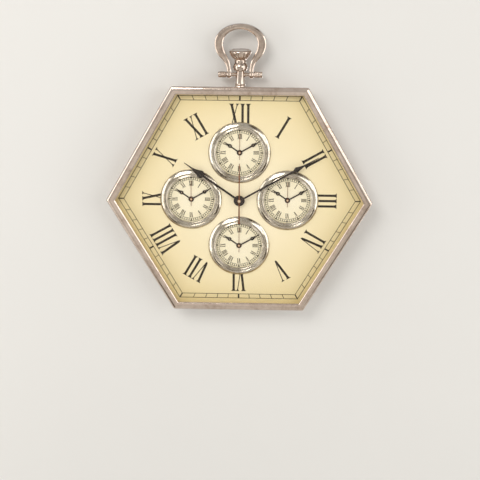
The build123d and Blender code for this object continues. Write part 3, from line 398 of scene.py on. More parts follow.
def main_dial_paint(slot):
    """Cream paint, paler in the middle and darker outwards, with painted shade of the frame along the sides
    of the hexagon: the tone follows the distance from the centre and the distance to the nearest side of the
    hexagon, and a fine mottle breaks it up."""
    tree, shader = new_finish(slot)
    centre = to_row((0.0, 0.0, DIAL_TOP)).tolist()
    place = shifted(tree, object_place(tree), centre)
    reach = None
    for k in range(3):
        angle = math.radians(90 + 60 * k)
        side = maths(tree, "ABSOLUTE", dot(tree, place, (math.cos(angle), 0.0, math.sin(angle))))
        reach = side if reach is None else maths(tree, "MAXIMUM", reach, side)
    marks = grouped(tree, FINE_GRAIN, Grain_Scale=1400.0, Patch_Scale=22.0)
    outward = spread(tree, length_of(tree, place), 0.05, 0.19)
    # painted shade: the dial darkens near the sides of the hexagon, where the frame's shadow falls
    frame_shade = spread(tree, reach, 0.118, 0.160)
    colour = blended(tree, outward, linear((249, 236, 203)), linear((231, 211, 157)))
    colour = blended(tree, maths(tree, "POWER", frame_shade, 2.0), colour, linear((226, 208, 156)))
    mottle = maths(tree, "MULTIPLY", marks["Patches"], 0.22)
    colour = blended(tree, mottle, colour, linear((233, 222, 180)))
    tree.links.new(colour, shader.inputs["Base Color"])
    tree.links.new(spread(tree, marks["Grain"], 0.3, 0.7, 0.42, 0.56), shader.inputs["Roughness"])
    relief(tree, shader, maths(tree, "MULTIPLY", marks["Grain"], 0.000004), 1.0)


def small_dial_paint(slot):
    """Paler cream paint with a darker rim: the tone follows the distance to the nearest small centre."""
    tree, shader = new_finish(slot)
    place = object_place(tree)
    nearest = None
    for x, y in SMALL_PLACES.values():
        away = length_of(tree, shifted(tree, place, to_row((x, y, SMALL_DIAL_TOP)).tolist()))
        nearest = away if nearest is None else maths(tree, "MINIMUM", nearest, away)
    marks = grouped(tree, FINE_GRAIN, Grain_Scale=2200.0, Patch_Scale=60.0)
    colour = blended(tree, spread(tree, nearest, 0.004, 0.035), linear((252, 243, 216)), linear((243, 233, 201)))
    colour = blended(tree, maths(tree, "MULTIPLY", marks["Patches"], 0.25), colour, linear((238, 227, 192)))
    tree.links.new(colour, shader.inputs["Base Color"])
    tree.links.new(spread(tree, marks["Grain"], 0.3, 0.7, 0.40, 0.52), shader.inputs["Roughness"])
    relief(tree, shader, maths(tree, "MULTIPLY", marks["Grain"], 0.000003), 1.0)


def hand_copper(slot):
    """Copper-coloured lacquer on the second hands, rubbed down to pale brass at the pin each turns on."""
    tree, shader = new_finish(slot)
    marks = grouped(tree, HAND_POLISH, Fineness=3.0)
    place = object_place(tree)
    pins = [(0.0, 0.0, 0.0021)] + [(x, y, 0.0014) for x, y in SMALL_PLACES.values()]
    pale = None
    for x, y, radius in pins:
        centre = to_row((x, y, 0.0)).tolist()
        flat = stretched(tree, shifted(tree, place, centre), (1.0, 0.0, 1.0))
        inside = spread(tree, length_of(tree, flat), radius, radius * 0.86)
        pale = inside if pale is None else maths(tree, "MAXIMUM", pale, inside)
    colour = blended(tree, marks["Tarnish and Sheen"], linear((150, 98, 70)), linear((96, 56, 38)))
    tree.links.new(blended(tree, pale, colour, linear((236, 216, 184))), shader.inputs["Base Color"])
    shader.inputs["Metallic"].default_value = 0.75
    tree.links.new(spread(tree, marks["Hairlines"], 0.0, 1.0, 0.3, 0.5), shader.inputs["Roughness"])


def cell_wrap(slot):
    """Shrink wrap of the AA cell: a dark sleeve with a copper-coloured band and bare steel at the poles."""
    tree, shader = new_finish(slot)
    marks = grouped(tree, FINE_GRAIN, Grain_Scale=900.0, Patch_Scale=80.0)
    place = dot(tree, object_place(tree), (1.0, 0.0, 0.0))
    band = maths(tree, "GREATER_THAN", place, 0.0095)
    poles = maths(tree, "GREATER_THAN", maths(tree, "ABSOLUTE", place), 0.0236)
    sleeve = blended(tree, marks["Patches"], linear((38, 42, 48)), linear((50, 54, 60)))
    colour = blended(tree, band, sleeve, linear((168, 112, 66)))
    tree.links.new(blended(tree, poles, colour, linear((188, 186, 180))), shader.inputs["Base Color"])
    tree.links.new(maths(tree, "MAXIMUM", maths(tree, "MULTIPLY", band, 0.4), poles), shader.inputs["Metallic"])
    tree.links.new(spread(tree, marks["Grain"], 0.2, 0.8, 0.28, 0.42), shader.inputs["Roughness"])


def wound_wire(slot):
    """Enamelled copper wire: fine turns side by side along the coil."""
    tree, shader = new_finish(slot)
    turns = tree.nodes.new("ShaderNodeTexWave")
    turns.bands_direction = "X"
    turns.inputs["Scale"].default_value = 900.0
    turns.inputs["Distortion"].default_value = 0.6
    tree.links.new(object_place(tree), turns.inputs["Vector"])
    height = turns.outputs["Color"]
    enamel = blended(tree, height, linear((96, 44, 22)), linear((198, 116, 70)))
    tree.links.new(enamel, shader.inputs["Base Color"])
    shader.inputs["Metallic"].default_value = 0.9
    tree.links.new(spread(tree, height, 0.0, 1.0, 0.45, 0.25), shader.inputs["Roughness"])
    relief(tree, shader, maths(tree, "MULTIPLY", height, 0.00008), 1.0)


# each metal's second colour is its tarnish and painted dark reflection tone
metal("polished_nickel", (224, 207, 193), (164, 138, 118), rough=0.10, rough_spread=0.16, wave=0.0011)
metal("nickel_fittings", (216, 199, 184), (132, 104, 86), rough=0.12, rough_spread=0.16, wave=0.0004,
      fineness=1.6)
metal("ring_nickel", (218, 210, 196), (140, 122, 96), rough=0.09, rough_spread=0.12, wave=0.0003, fineness=1.4)
metal("zinc_steel", (192, 192, 188), (174, 171, 165), rough=0.36, rough_spread=0.1)
metal("screw_steel", (186, 182, 176), (112, 104, 94), rough=0.24, rough_spread=0.2, fineness=3.0)
metal("spring_steel", (196, 194, 186), (140, 134, 124), rough=0.26, rough_spread=0.2, fineness=3.0)
metal("motor_iron", (150, 148, 146), (104, 96, 88), rough=0.4, rough_spread=0.2, fineness=3.0)
metal("magnet", (92, 92, 94), (60, 58, 56), rough=0.42, rough_spread=0.2, fineness=3.0)
metal("brass_nut", (222, 190, 120), (160, 120, 62), rough=0.22, rough_spread=0.2, fineness=3.0)
metal("can_metal", (190, 187, 180), (176, 171, 162), rough=0.40, rough_spread=0.08, fineness=1.5)
coated("hand_dark", (26, 16, 8), (44, 28, 15), rough=0.3, rough_spread=0.2, bump=0.000004, grain=2600.0,
       coat=0.35)
coated("print_ink", (34, 25, 12), (50, 40, 22), rough=0.55, rough_spread=0.1, bump=0.000003, grain=3000.0)
coated("back_paint", (34, 33, 32), (52, 50, 47), rough=0.5, rough_spread=0.2, bump=0.00003, grain=1100.0,
       patch=18.0)
coated("soft_gasket", (30, 29, 28), (46, 44, 42), rough=0.7, rough_spread=0.15, bump=0.00002)
coated("soft_pad", (74, 70, 66), (104, 98, 92), rough=0.92, rough_spread=0.06, bump=0.0002, grain=900.0)
coated("spacer_plastic", (192, 173, 126), (212, 195, 150), rough=0.55, rough_spread=0.15)
coated("black_plastic", (26, 26, 27), (40, 40, 41), rough=0.46, rough_spread=0.18, bump=0.00002, grain=1500.0)
coated("white_plastic", (224, 222, 214), (206, 202, 190), rough=0.42, rough_spread=0.15)
coated("gear_plastic", (226, 220, 198), (206, 198, 170), rough=0.36, rough_spread=0.15)
coated("board_green", (24, 92, 52), (36, 118, 70), rough=0.36, rough_spread=0.2, coat=0.3)
main_dial_paint("dial_print")
small_dial_paint("small_dial_print")
clear("clear_glass", (252, 251, 249))
clear("small_lens", (252, 251, 250))
cell_wrap("battery_wrap")
hand_copper("second_copper")
wound_wire("coil_copper")
coated("small_ink", (66, 56, 38), (84, 74, 52), rough=0.55, rough_spread=0.1, bump=0.000003)
coated("small_black", (36, 30, 18), (52, 44, 28), rough=0.55, rough_spread=0.1, bump=0.000003)
FINISHES["print_ink"]["clock_slot"] = "dial_print"
FINISHES["small_ink"]["clock_slot"] = "small_dial_print"
FINISHES["small_black"]["clock_slot"] = "small_dial_print"

for part in frame["record"]["subparts"]:
    node = frame["nodes"][part["node"]]
    node.data.materials.clear()
    node.data.materials.append(FINISHES[part["material_slot"]])


# Case

def case_frame():
    """Front frame: its section runs up the skirt, round the edge, over the crowned face and down the lip.

    With s from 0 at the outer end of the face to 1 at the inner, the face lies below the front plane by
    1.35 * (1 - s / 0.55) ^ 2.2 on its outer part and 0.30 * ((s - 0.55) / 0.45) ^ 2 on its inner part."""
    lean = math.radians(32)
    edge_radius = 2.6
    outer_fall, inner_fall = 1.35, 0.30
    outer_share, inner_share = 0.55, 0.45
    face_in = OPENING_APOTHEM + 1.5
    face_out = CASE_APOTHEM - edge_radius * (1 - math.sin(lean))
    across = np.linspace(0, 1, 25)
    outer = outer_fall * np.clip(1 - across / outer_share, 0, 1) ** 2.2
    inner = inner_fall * np.clip((across - outer_share) / inner_share, 0, 1) ** 2
    fall = outer + inner
    face = np.stack([face_out + (face_in - face_out) * across, FRONT - fall], axis=-1)
    turn = np.linspace(0, math.pi / 2 - lean, 9)[:-1]
    level = FRONT - outer_fall - edge_radius * math.cos(lean)
    edge_reach = CASE_APOTHEM - edge_radius * (1 - np.cos(turn))
    edge = np.stack([edge_reach, level + edge_radius * np.sin(turn)], axis=-1)
    low = [(SKIRT_OUTER - 0.25, SEAM), (SKIRT_OUTER + 0.02, SEAM + 0.25)]
    lip_corners = [(OPENING_APOTHEM, LIP + 0.1), (OPENING_APOTHEM + 0.4, LIP), (SKIRT_INNER, LIP)]
    lip = eased([face[-1], *lip_corners], 0.3)
    section = np.concatenate([low, edge, face, lip[1:], [(SKIRT_INNER, SEAM)]])
    reaches = [OPENING_APOTHEM, OPENING_APOTHEM + 2, CASE_APOTHEM]
    corner = np.interp(section[:, 0], reaches, [0.25, 0.5, 3.3])
    return sheet(hexagon_run(np.column_stack([section, corner])), wrap_rows=True, wrap_columns=True)


add("case_frame", [case_frame()], FINISHES["polished_nickel"], "clock", ["case_bezel"])


# Neck, crown and bail

def wall_height(level):
    """Height of the sloping top wall of the case at a level."""
    return SKIRT_OUTER - 0.2 - (SEAM - level) * SKIRT_SLOPE


def arc(start, middle, end, steps=12):
    """Points of the circle through three points, from the first to the last."""
    (ax, ay), (bx, by), (cx, cy) = start, middle, end
    d = 2 * (ax * (by - cy) + bx * (cy - ay) + cx * (ay - by))
    a2, b2, c2 = ax * ax + ay * ay, bx * bx + by * by, cx * cx + cy * cy
    ux = (a2 * (by - cy) + b2 * (cy - ay) + c2 * (ay - by)) / d
    uy = (a2 * (cx - bx) + b2 * (ax - cx) + c2 * (bx - ax)) / d
    first = math.atan2(ay - uy, ax - ux)
    turn = math.atan2(by - uy, bx - ux) - first
    whole = math.atan2(cy - uy, cx - ux) - first
    turn, whole = turn % (2 * math.pi), whole % (2 * math.pi)
    if turn > whole:
        whole -= 2 * math.pi
    angle = first + np.linspace(0, 1, steps) * whole
    radius = math.hypot(ax - ux, ay - uy)
    return np.stack([ux + radius * np.cos(angle), uy + radius * np.sin(angle)], axis=-1)


def neck():
    """Turned neck: flared foot scribed to the wall, tapering stem with a fine ring, and a bead."""
    flare = arc((10.3, -18.9), (8.41, -17.15), (7.6, -13.9))
    stem = eased([(7.6, -13.9), (7.9, -13.2), (7.2, -12.4), (5.7, 5.4), (6.6, 6.0), (8.9, 6.2)], 0.5)
    bead = arc((8.9, 6.2), (10.1, 11.3), (8.1, 16.5), 20)
    profile = np.concatenate([[(0.0, -21.4), (10.3, -21.4)], flare, stem[1:], bead[1:], [(0.0, 16.6)]])
    points = along(turned(profile, 72), "y", (0.0, PIN_HEIGHT, NECK_DEPTH))
    points[..., 1] = np.maximum(points[..., 1], wall_height(points[..., 2]))
    return sheet(points, wrap_rows=True)


def crown_flutes(angle, profile):
    """Rounded petals round the bowl: a lobed wave that fades towards the rim and the foot."""
    height = profile[None, :, 1]
    fade = np.clip((height - 21.6) / 2.4, 0, 1) * np.clip((31.4 - height) / 3.2, 0, 1)
    return -0.9 * fade * (1 - np.abs(np.cos(9 * angle + 0.10 * (height - 21.0))))


def crown():
    """Bowl-shaped crown on a collar, with a groove between its rounded rim and the low dome of its top."""
    collar = eased([(0.0, 16.62), (8.0, 16.62), (8.25, 17.2), (8.25, 20.4), (8.0, 21.1), (8.4, 21.3)], 0.4)
    bowl = arc((8.4, 21.3), (13.2, 26.4), (15.7, 31.6), 30)
    rim = arc((15.7, 31.6), (15.35, 33.9), (13.3, 34.75), 12)
    top = eased([(13.3, 34.75), (12.4, 34.6), (11.7, 33.7), (10.9, 33.75), (9.6, 34.35), (0.0, 34.78)], 0.4)
    rim = np.concatenate([rim, top[1:]])
    profile = np.concatenate([collar, bowl[1:], rim[1:]])
    points = along(turned(profile, 216, crown_flutes), "y", (0.0, PIN_HEIGHT, NECK_DEPTH))
    return sheet(points, wrap_rows=True)


def bail_side(half_width, rise, leg):
    """Right half of an outline of the loop: a quarter ellipse, then two arcs in to the straight leg."""
    widest, waist, drop, foot = 44.0, 28.0, 39.0, 5.0
    t = np.linspace(math.pi / 2, 0, 40)
    top = np.stack([half_width * np.cos(t), widest + rise * np.sin(t)], axis=-1)
    turn = 2 * math.atan2(half_width - leg, drop)
    lower = drop / math.sin(turn) - waist
    a = np.linspace(0, turn, 20)[1:]
    upper = np.stack([half_width - waist + waist * np.cos(a), widest - waist * np.sin(a)], axis=-1)
    b = np.linspace(turn, 0, 20)[1:]
    under = np.stack([leg + lower - lower * np.cos(b), foot + lower * np.sin(b)], axis=-1)
    return np.concatenate([top, upper, under])


# Bevel of the bail's edges, from its side to its front, as shares of the edge
BEVEL = np.array([(1.0, 0.0), (1.0, 0.31), (0.985, 0.37), (0.95, 0.41), (0.91, 0.44),
                  (0.12, 0.93), (0.08, 0.955), (0.04, 0.985), (0.0, 1.0)])
BAIL_EDGE = 1.5
BAIL_HALF_DEPTH = 5.2


def bail_section():
    """Section of the bail: signs of the flat part and shares of the edge, a sloped bevel with eased corners."""
    signs = [(1, 1), (-1, 1), (-1, -1), (1, -1)]
    pieces = []
    for k, (sx, sy) in enumerate(signs):
        turn = BEVEL if k % 2 == 0 else BEVEL[::-1]
        count = len(turn)
        across = [np.full(count, sx), turn[:, 0] * sx]
        pieces.append(np.column_stack(across + [np.full(count, sy), turn[:, 1] * sy]))
    return np.concatenate(pieces)


def bail_loop():
    """Omega loop: at each station a bar with rounded edges spans from the inner to the outer outline."""
    outer, inner = bail_side(36.0, 27.0, 18.5), bail_side(24.4, 19.8, 13.1)
    both = [np.concatenate([side[::-1] * (-1, 1), side[1:]]) for side in (outer, inner)]
    middle, half = (both[0] + both[1]) / 2, (both[0] - both[1]) / 2
    reach = np.linalg.norm(half, axis=-1, keepdims=True)
    direction = half / reach
    section = bail_section()[None]
    edge = BAIL_EDGE
    across = section[..., 0] * (reach - edge) + section[..., 1] * edge
    depth = section[..., 2] * (BAIL_HALF_DEPTH - edge) + section[..., 3] * edge
    x = middle[:, None, 0] + direction[:, None, 0] * across
    y = middle[:, None, 1] + direction[:, None, 1] * across + PIN_HEIGHT
    z = np.broadcast_to(depth, x.shape) + NECK_DEPTH
    loop = np.stack([x, y, z], axis=-1)
    ends = np.concatenate([loop[:1].mean(axis=1, keepdims=True).repeat(loop.shape[1], axis=1), loop,
                           loop[-1:].mean(axis=1, keepdims=True).repeat(loop.shape[1], axis=1)])
    return sheet(ends, wrap_columns=True)


def round_bar(profile, at, segments=48, flute=None):
    """Profile of (radius, distance) turned about a level line along x."""
    return sheet(along(turned(profile, segments, flute), "x", at), wrap_rows=True)


def bail_eye(side):
    """Foot of a leg, bored for the pin: round below, and drawn up square into the leg above.

    At an angle t from straight up its outer edge lies at min(5.19 / |sin t|, 8 / cos t), below at 5.2."""
    low, high, bore = 13.11, 18.49, 2.98
    across = high - BAIL_EDGE * (1 - BEVEL[:, 0])
    outward = BAIL_HALF_DEPTH - BAIL_EDGE * (1 - BEVEL[:, 1])
    corner = np.stack([outward, across], axis=-1)
    mirrored = np.stack([outward, low + high - across], axis=-1)[::-1]
    profile = np.concatenate([[(bore, low), (bore, high)], corner, mirrored])
    points = turned(profile, 72)
    points = along(points, "x")
    radius = np.linalg.norm(points[..., 1:], axis=-1)
    up, front = points[..., 1] / radius, np.abs(points[..., 2]) / radius
    square = np.minimum(5.19 / np.maximum(front, 1e-6), 8.0 / np.maximum(up, 1e-6))
    reach = np.where(up > 1e-6, square, BAIL_HALF_DEPTH)
    grown = bore + (radius - bore) * (reach - bore) / (BAIL_HALF_DEPTH - bore)
    points[..., 1:] *= (grown / radius)[..., None]
    points += (0.0, PIN_HEIGHT, NECK_DEPTH)
    points[..., 0] *= side
    return sheet(points, wrap_rows=True, wrap_columns=True)


def knurl(angle, profile):
    """Diamond knurling: two sets of shallow grooves that wind opposite ways along the barrel."""
    place = profile[None, :, 1]
    fade = np.clip((place - 19.7) / 0.5, 0, 1) * np.clip((30.3 - place) / 0.5, 0, 1)
    left = np.abs(np.sin(9 * angle + 1.35 * place))
    right = np.abs(np.sin(9 * angle - 1.35 * place))
    return -0.34 * fade * (1 - np.minimum(left, right) ** 0.7)


def pin_knob(side):
    """Knurled barrel nut with a smooth collar at each end and a domed cap."""
    start = eased([(3.0, 18.8), (3.6, 18.8), (4.0, 19.2), (4.1, 19.7)], 0.2)
    body = np.column_stack([np.full(57, 4.1), np.linspace(19.7, 30.3, 57)])
    cap = eased([(4.1, 30.3), (4.05, 30.8), (3.5, 31.2), (1.2, 31.2), (0.0, 31.2)], 0.3)
    profile = np.concatenate([[(0.0, 18.8)], start, body[1:], cap[1:]])
    points = along(turned(profile, 144, knurl), "x", (0.0, PIN_HEIGHT, NECK_DEPTH))
    points[..., 0] *= side
    return sheet(points, wrap_rows=True)


PIN_AT = (0.0, PIN_HEIGHT, NECK_DEPTH)
PIN = [(0.0, -18.7), (2.9, -18.7), (2.9, 18.7), (0.0, 18.7)]
fittings = FINISHES["nickel_fittings"]
add("neck_turning", [neck()], fittings, "clock", ["neck"])
add("crown_bowl", [crown()], fittings, "clock", ["crown"], sharp=60)
add("bail_omega", [bail_loop(), bail_eye(-1), bail_eye(1)], fittings, "bail", ["bail"])
add("pin_bar", [round_bar(PIN, PIN_AT)], fittings, "clock", ["bail_pin"])
add("knurled_nuts", [pin_knob(-1), pin_knob(1)], fittings, "clock", ["pin_knobs"], sharp=70)


# Small dials: polished rings

def ring(x, y):
    """Ring section turned about the small dial's axis: round swell, soft crest, inner cone and fine bead."""
    foot = eased([(44.95, 0.0), (45.0, 0.7), (44.5, 1.25)], 0.5)
    cone = arc((44.5, 1.25), (42.35, 2.85), (39.8, 4.12), 10)
    crest = arc((39.8, 4.12), (39.1, 4.24), (38.5, 3.9), 8)
    steps = [(38.5, 3.9), (38.1, 3.1), (36.3, 2.65), (35.7, 3.05), (35.2, 2.6), (34.7, 2.95), (34.3, 2.6),
             (34.3, 1.95)]
    swell = np.concatenate([foot, cone[1:]])
    inner = eased(steps, 0.22)
    under = [(35.7, 1.95), (35.7, 0.95), (38.7, 0.95), (38.7, 0.02), (44.9, 0.02)]
    profile = np.concatenate([swell, crest[1:], inner[1:], under])
    return sheet(along(turned(profile, 144), "z", (x, y, DIAL_TOP)), wrap_rows=True, wrap_columns=True)


for name, (x, y) in SMALL_PLACES.items():
    add(name + "_ring", [ring(x, y)], FINISHES["ring_nickel"], "clock", [name + "_bezel"])


# Print on the dials: flat sheets a hair above the paint, facing the reader

def strip(start, end, half_start, half_end=None, level=DIAL_TOP + PRINT_RISE, steps=2):
    """Straight stroke between two points whose half width runs evenly from one end to the other."""
    half_end = half_start if half_end is None else half_end
    start, end = np.asarray(start, dtype=float), np.asarray(end, dtype=float)
    t = np.linspace(0, 1, steps)[:, None]
    direction = (end - start) / np.linalg.norm(end - start)
    side = np.array([direction[1], -direction[0]])
    middle = start + (end - start) * t
    half = half_start + (half_end - half_start) * t
    edges = np.stack([middle + side * half, middle - side * half], axis=1)
    return facing(edges, level)


def facing(edges, level):
    """Sheet over pairs of edge points, wound so that it faces out of the dial."""
    edges = np.asarray(edges, dtype=float)
    points = np.concatenate([edges, np.full(edges.shape[:-1] + (1,), level)], axis=-1)
    vertices, quads = sheet(points)
    a, b, d = vertices[quads[0, 0]], vertices[quads[0, 1]], vertices[quads[0, 3]]
    return vertices, (quads if np.cross(b - a, d - a)[2] > 0 else quads[:, ::-1])


def stroke(top, bottom, thick, serif_top, serif_bottom, height):
    """Letter stroke from its top to its bottom: a bar that ends in bracketed serifs.

    Near an end, half width = thick / 2 + serif * (flat slab, then 0.55 * (1 - distance / bracket) ^ 3)."""
    stations = [0, 0.0245, 0.025, 0.045, 0.07, 0.10, 0.14, 0.3, 0.5, 0.7, 0.86, 0.90, 0.93, 0.955, 0.975,
                0.9755, 1]
    y = height * np.array(stations)
    x = bottom + (top - bottom) * y / height

    def flare(distance):
        share = distance / height
        return np.where(share < 0.0248, 1.0, 0.55 * np.clip(1 - (share - 0.025) / 0.12, 0, 1) ** 3)

    half = thick / 2 + serif_bottom * flare(y) + serif_top * flare(height - y)
    half = np.maximum(half, 0.1 * thick)
    return np.stack([np.stack([x - half, y], axis=-1), np.stack([x + half, y], axis=-1)], axis=1)


def glyph(letter, x, height, weight):
    """Strokes of one Roman letter with its anchor at x, drawn at the main dial's size and then scaled."""
    s = height / NUMERAL_HEIGHT
    if letter == "I":
        shapes = [(0.0, 0.0, 3.4, 1.75, 1.75)]
    elif letter == "V":
        shapes = [(0.0, 4.0, 3.5, 1.8, -1.1), (9.4, 4.4, 1.15, 1.9, -0.3)]
    else:
        shapes = [(0.0, 7.9, 3.5, 1.7, 1.7), (8.8, -0.6, 1.15, 1.9, 2.1)]
    return [stroke(x + top * s, x + bottom * s, thick * s * weight, serif_top * s, serif_bottom * s, height)
            for top, bottom, thick, serif_top, serif_bottom in shapes]


ADVANCE = {"II": 8.1, "IV": 7.9, "IX": 8.4, "VI": 15.0, "XI": 15.9}
SPAN = {"I": (-3.3, 3.3), "V": (-3.3, 11.6), "X": (-3.3, 11.2)}


def numeral(text, angle, top, height, centre, level, weight=1.0):
    """Roman numeral stood on its hour, its foot towards the middle of the dial."""
    s = height / NUMERAL_HEIGHT
    anchors, x = [], 0.0
    for k, letter in enumerate(text):
        if k:
            x += ADVANCE[text[k - 1] + letter] * s
        anchors.append(x)
    left = anchors[0] + SPAN[text[0]][0] * s
    right = anchors[-1] + SPAN[text[-1]][1] * s
    out = np.array([math.sin(angle), math.cos(angle)])
    side = np.array([math.cos(angle), -math.sin(angle)])
    parts = []
    for letter, anchor in zip(text, anchors):
        for edges in glyph(letter, anchor - (left + right) / 2, height, weight):
            flat = edges[..., :1] * side + (edges[..., 1:] + top - height) * out + np.asarray(centre)
            parts.append(facing(flat, level))
    return parts


NUMERALS = ("XII", "I", "II", "III", "IV", "V", "VI", "VII", "VIII", "IX", "X", "XI")


def hexagon_edge(angle, apothem):
    """Point on a hexagon of that apothem, in a direction given clockwise from twelve."""
    turn = (angle + math.pi / SIDES) % (2 * math.pi / SIDES) - math.pi / SIDES
    reach = apothem / math.cos(turn)
    return np.array([reach * math.sin(angle), reach * math.cos(angle)])


def main_print():
    """Track of two hexagons with a mark for each minute, and the twelve numerals."""
    parts = []
    corners = [math.radians(30 + 60 * k) for k in range(SIDES + 1)]
    for apothem in (TRACK_OUTER, TRACK_INNER):
        for first, second in zip(corners[:-1], corners[1:]):
            inner = [hexagon_edge(first, apothem - TRACK_HALF), hexagon_edge(second, apothem - TRACK_HALF)]
            outer = [hexagon_edge(first, apothem + TRACK_HALF), hexagon_edge(second, apothem + TRACK_HALF)]
            parts.append(facing(np.stack([inner, outer], axis=1), DIAL_TOP + PRINT_RISE))
    for minute in range(60):
        angle = math.radians(6 * minute)
        half = TRACK_HALF if minute % 5 else (1.15 if minute % 10 == 0 else 0.85)
        parts.append(strip(hexagon_edge(angle, TRACK_INNER - 0.3), hexagon_edge(angle, TRACK_OUTER + 0.3), half,
                           level=DIAL_TOP + MARK_RISE))
    for hour, text in enumerate(NUMERALS):
        parts += numeral(text, math.radians(30 * hour), NUMERAL_TOP, NUMERAL_HEIGHT, (0.0, 0.0),
                         DIAL_TOP + PRINT_RISE)
    return parts


add("main_dial_print", main_print(), FINISHES["print_ink"], "clock", closed=False)


def small_track(centre):
    """Railway track: two fine circles joined by sixty short bars, and a wedge for each hour."""
    parts = []
    level = SMALL_DIAL_TOP + SMALL_PRINT_RISE
    inner, outer, half = 29.1, 32.5, 0.25
    turn = np.linspace(0, 2 * math.pi, 145)
    for radius in (outer, inner):
        low = np.stack([np.sin(turn), np.cos(turn)], axis=-1) * (radius - half) + centre
        high = np.stack([np.sin(turn), np.cos(turn)], axis=-1) * (radius + half) + centre
        parts.append(facing(np.stack([low, high], axis=1), level))
    for minute in range(60):
        angle = math.radians(6 * minute)
        out = np.array([math.sin(angle), math.cos(angle)])
        parts.append(strip(centre + out * inner, centre + out * outer, 0.36, 0.40, level + 0.006))
        if minute % 5 == 0:
            parts.append(strip(centre + out * 30.0, centre + out * 33.3, 0.35, 1.6, level + 0.012))
    return parts


for name, place in SMALL_PLACES.items():
    centre = np.array(place)
    add(name + "_track_print", small_track(centre), FINISHES["small_black"], "clock", closed=False)
    letters = []
    for hour, text in enumerate(NUMERALS):
        letters += numeral(text, math.radians(30 * hour), top=27.6, height=7.6, centre=centre,
                           level=SMALL_DIAL_TOP + SMALL_PRINT_RISE, weight=1.45)
    add(name + "_numeral_print", letters, FINISHES["small_ink"], "clock", closed=False)


# Hands

def blade_width(y, shaft, bulb, neck_end, tip, start, peak, end, length):
    """Half width of a hand along its length: even shaft, quarter-round shoulder, hollow waist, fine point."""
    up = np.clip((y - start) / (peak - start), 0, 1)
    down = np.clip((y - peak) / (end - peak), 0, 1)
    shoulder = shaft + (bulb - shaft) * np.sqrt(np.clip(1 - (1 - up) ** 2, 0, 1))
    waist = neck_end + (bulb - neck_end) * (1 - down) ** 1.74
    point = neck_end + (tip - neck_end) * np.clip((y - end) / (length - end), 0, 1)
    width = np.where(y < peak, shoulder, np.where(y < end, waist, point))
    return width / 2


def blade(width, length, low, thickness, angle, centre=(0.0, 0.0), start=0.0, fine=70, crown=0.35):
    """Hand blade: across each station the top is crowned, level = low + thickness * (1 - crown * s^2)."""
    y = np.concatenate([[start], np.linspace(start, length, fine), [length]])
    half = width(y)
    half[0] = half[-1] = 0.0
    s = np.array([-1.0, -0.8, -0.4, 0.0, 0.4, 0.8, 1.0])
    top = np.stack([s, 1 - crown * s ** 2], axis=-1)
    under = np.array([[1.0, 0.0], [-1.0, 0.0]])
    section = np.concatenate([top, under])
    x = half[:, None] * section[None, :, 0]
    z = low + thickness * np.broadcast_to(section[None, :, 1], x.shape)
    out = np.array([math.sin(angle), math.cos(angle)])
    side = np.array([math.cos(angle), -math.sin(angle)])
    flat = x[..., None] * side + y[:, None, None] * out + np.asarray(centre)
    return sheet(np.concatenate([flat, z[..., None]], axis=-1), wrap_columns=True)


def hub(radius, bore, low, thickness, centre=(0.0, 0.0), edge=0.2):
    """Flat ring with eased edges round the pipe."""
    top = low + thickness
    section = eased([(bore, low), (radius, low), (radius, top), (bore, top)], edge, closed=True)
    points = along(turned(section, 64), "z", (centre[0], centre[1], 0.0))
    return sheet(points, wrap_rows=True, wrap_columns=True)


def pierced_bulb(y, radius, point, hole, low, thickness, angle, centre):
    """Drop-shaped eye of a hand: its outer edge lies at radius + (point - radius) * cos(t) ^ 10 from the
    hole's centre, t being the turn away from the tip, and its top is crowned like the blade's."""
    t = np.linspace(0, 2 * np.pi, 40, endpoint=False)
    outer = radius + (point - radius) * np.clip(np.cos(t), 0, 1) ** 10
    across = np.array([0.0, 0.0, 0.45, 0.8, 1.0, 1.0])
    level = low + thickness * np.array([0.0, 0.92, 1.0, 0.92, 0.6, 0.0])
    reach = hole + (outer[:, None] - hole) * across
    out = np.array([math.sin(angle), math.cos(angle)])
    side = np.array([math.cos(angle), -math.sin(angle)])
    along_hand = y + reach * np.cos(t)[:, None]
    beside = reach * np.sin(t)[:, None]
    flat = along_hand[..., None] * out + beside[..., None] * side + np.asarray(centre)
    heights = np.broadcast_to(level, reach.shape)
    return sheet(np.concatenate([flat, heights[..., None]], axis=-1), wrap_rows=True, wrap_columns=True)


def small_hand(length, eye, radius, low, angle, centre, start):
    """Hand of a small clock: even shaft up to its pierced eye, then a blunt tapering tip."""
    shaft_end = eye - radius * 0.75
    tip_start = eye + radius * 0.8
    thickness, hole, shaft_half = 0.3, 0.8, 0.95

    def even(y):
        return np.full(y.shape, shaft_half)

    def tapering(y):
        return 1.05 - 0.6 * (y - tip_start) / (length - tip_start)

    return [
        blade(even, shaft_end, low, thickness, angle, centre, start, 6),
        pierced_bulb(eye, radius, radius * 1.7, hole, low, thickness, angle, centre),
        blade(tapering, length, low, thickness, angle, centre, tip_start, 8),
    ]


def button(radius, low, high, centre=(0.0, 0.0)):
    """Small domed cap."""
    shoulder = low + (high - low) * 0.55
    section = eased([(0.0, low), (radius, low), (radius, shoulder), (radius * 0.6, high), (0.0, high)], 0.25)
    return sheet(along(turned(section, 40), "z", (centre[0], centre[1], 0.0)), wrap_rows=True)


HOUR_ANGLE = math.radians(305)
MINUTE_ANGLE = math.radians(60)
HOUR_LOW, MINUTE_LOW, SECOND_LOW = DIAL_TOP + 4.9, DIAL_TOP + 6.2, DIAL_TOP + 7.5
HOUR_THICK, MINUTE_THICK, SECOND_THICK = 0.7, 0.6, 0.3
HOUR_LENGTH, MINUTE_LENGTH, SECOND_LENGTH, SECOND_TAIL = 97.0, 131.0, 56.0, 34.0
dark = FINISHES["hand_dark"]
copper = FINISHES["second_copper"]


def hour_width(y):
    return blade_width(y, shaft=2.9, bulb=11.8, neck_end=1.9, tip=0.8, start=63.0, peak=68.6, end=85.0,
                       length=HOUR_LENGTH)


def minute_width(y):
    return blade_width(y, shaft=2.6, bulb=7.8, neck_end=1.9, tip=0.8, start=91.5, peak=95.6, end=111.0,
                       length=MINUTE_LENGTH)


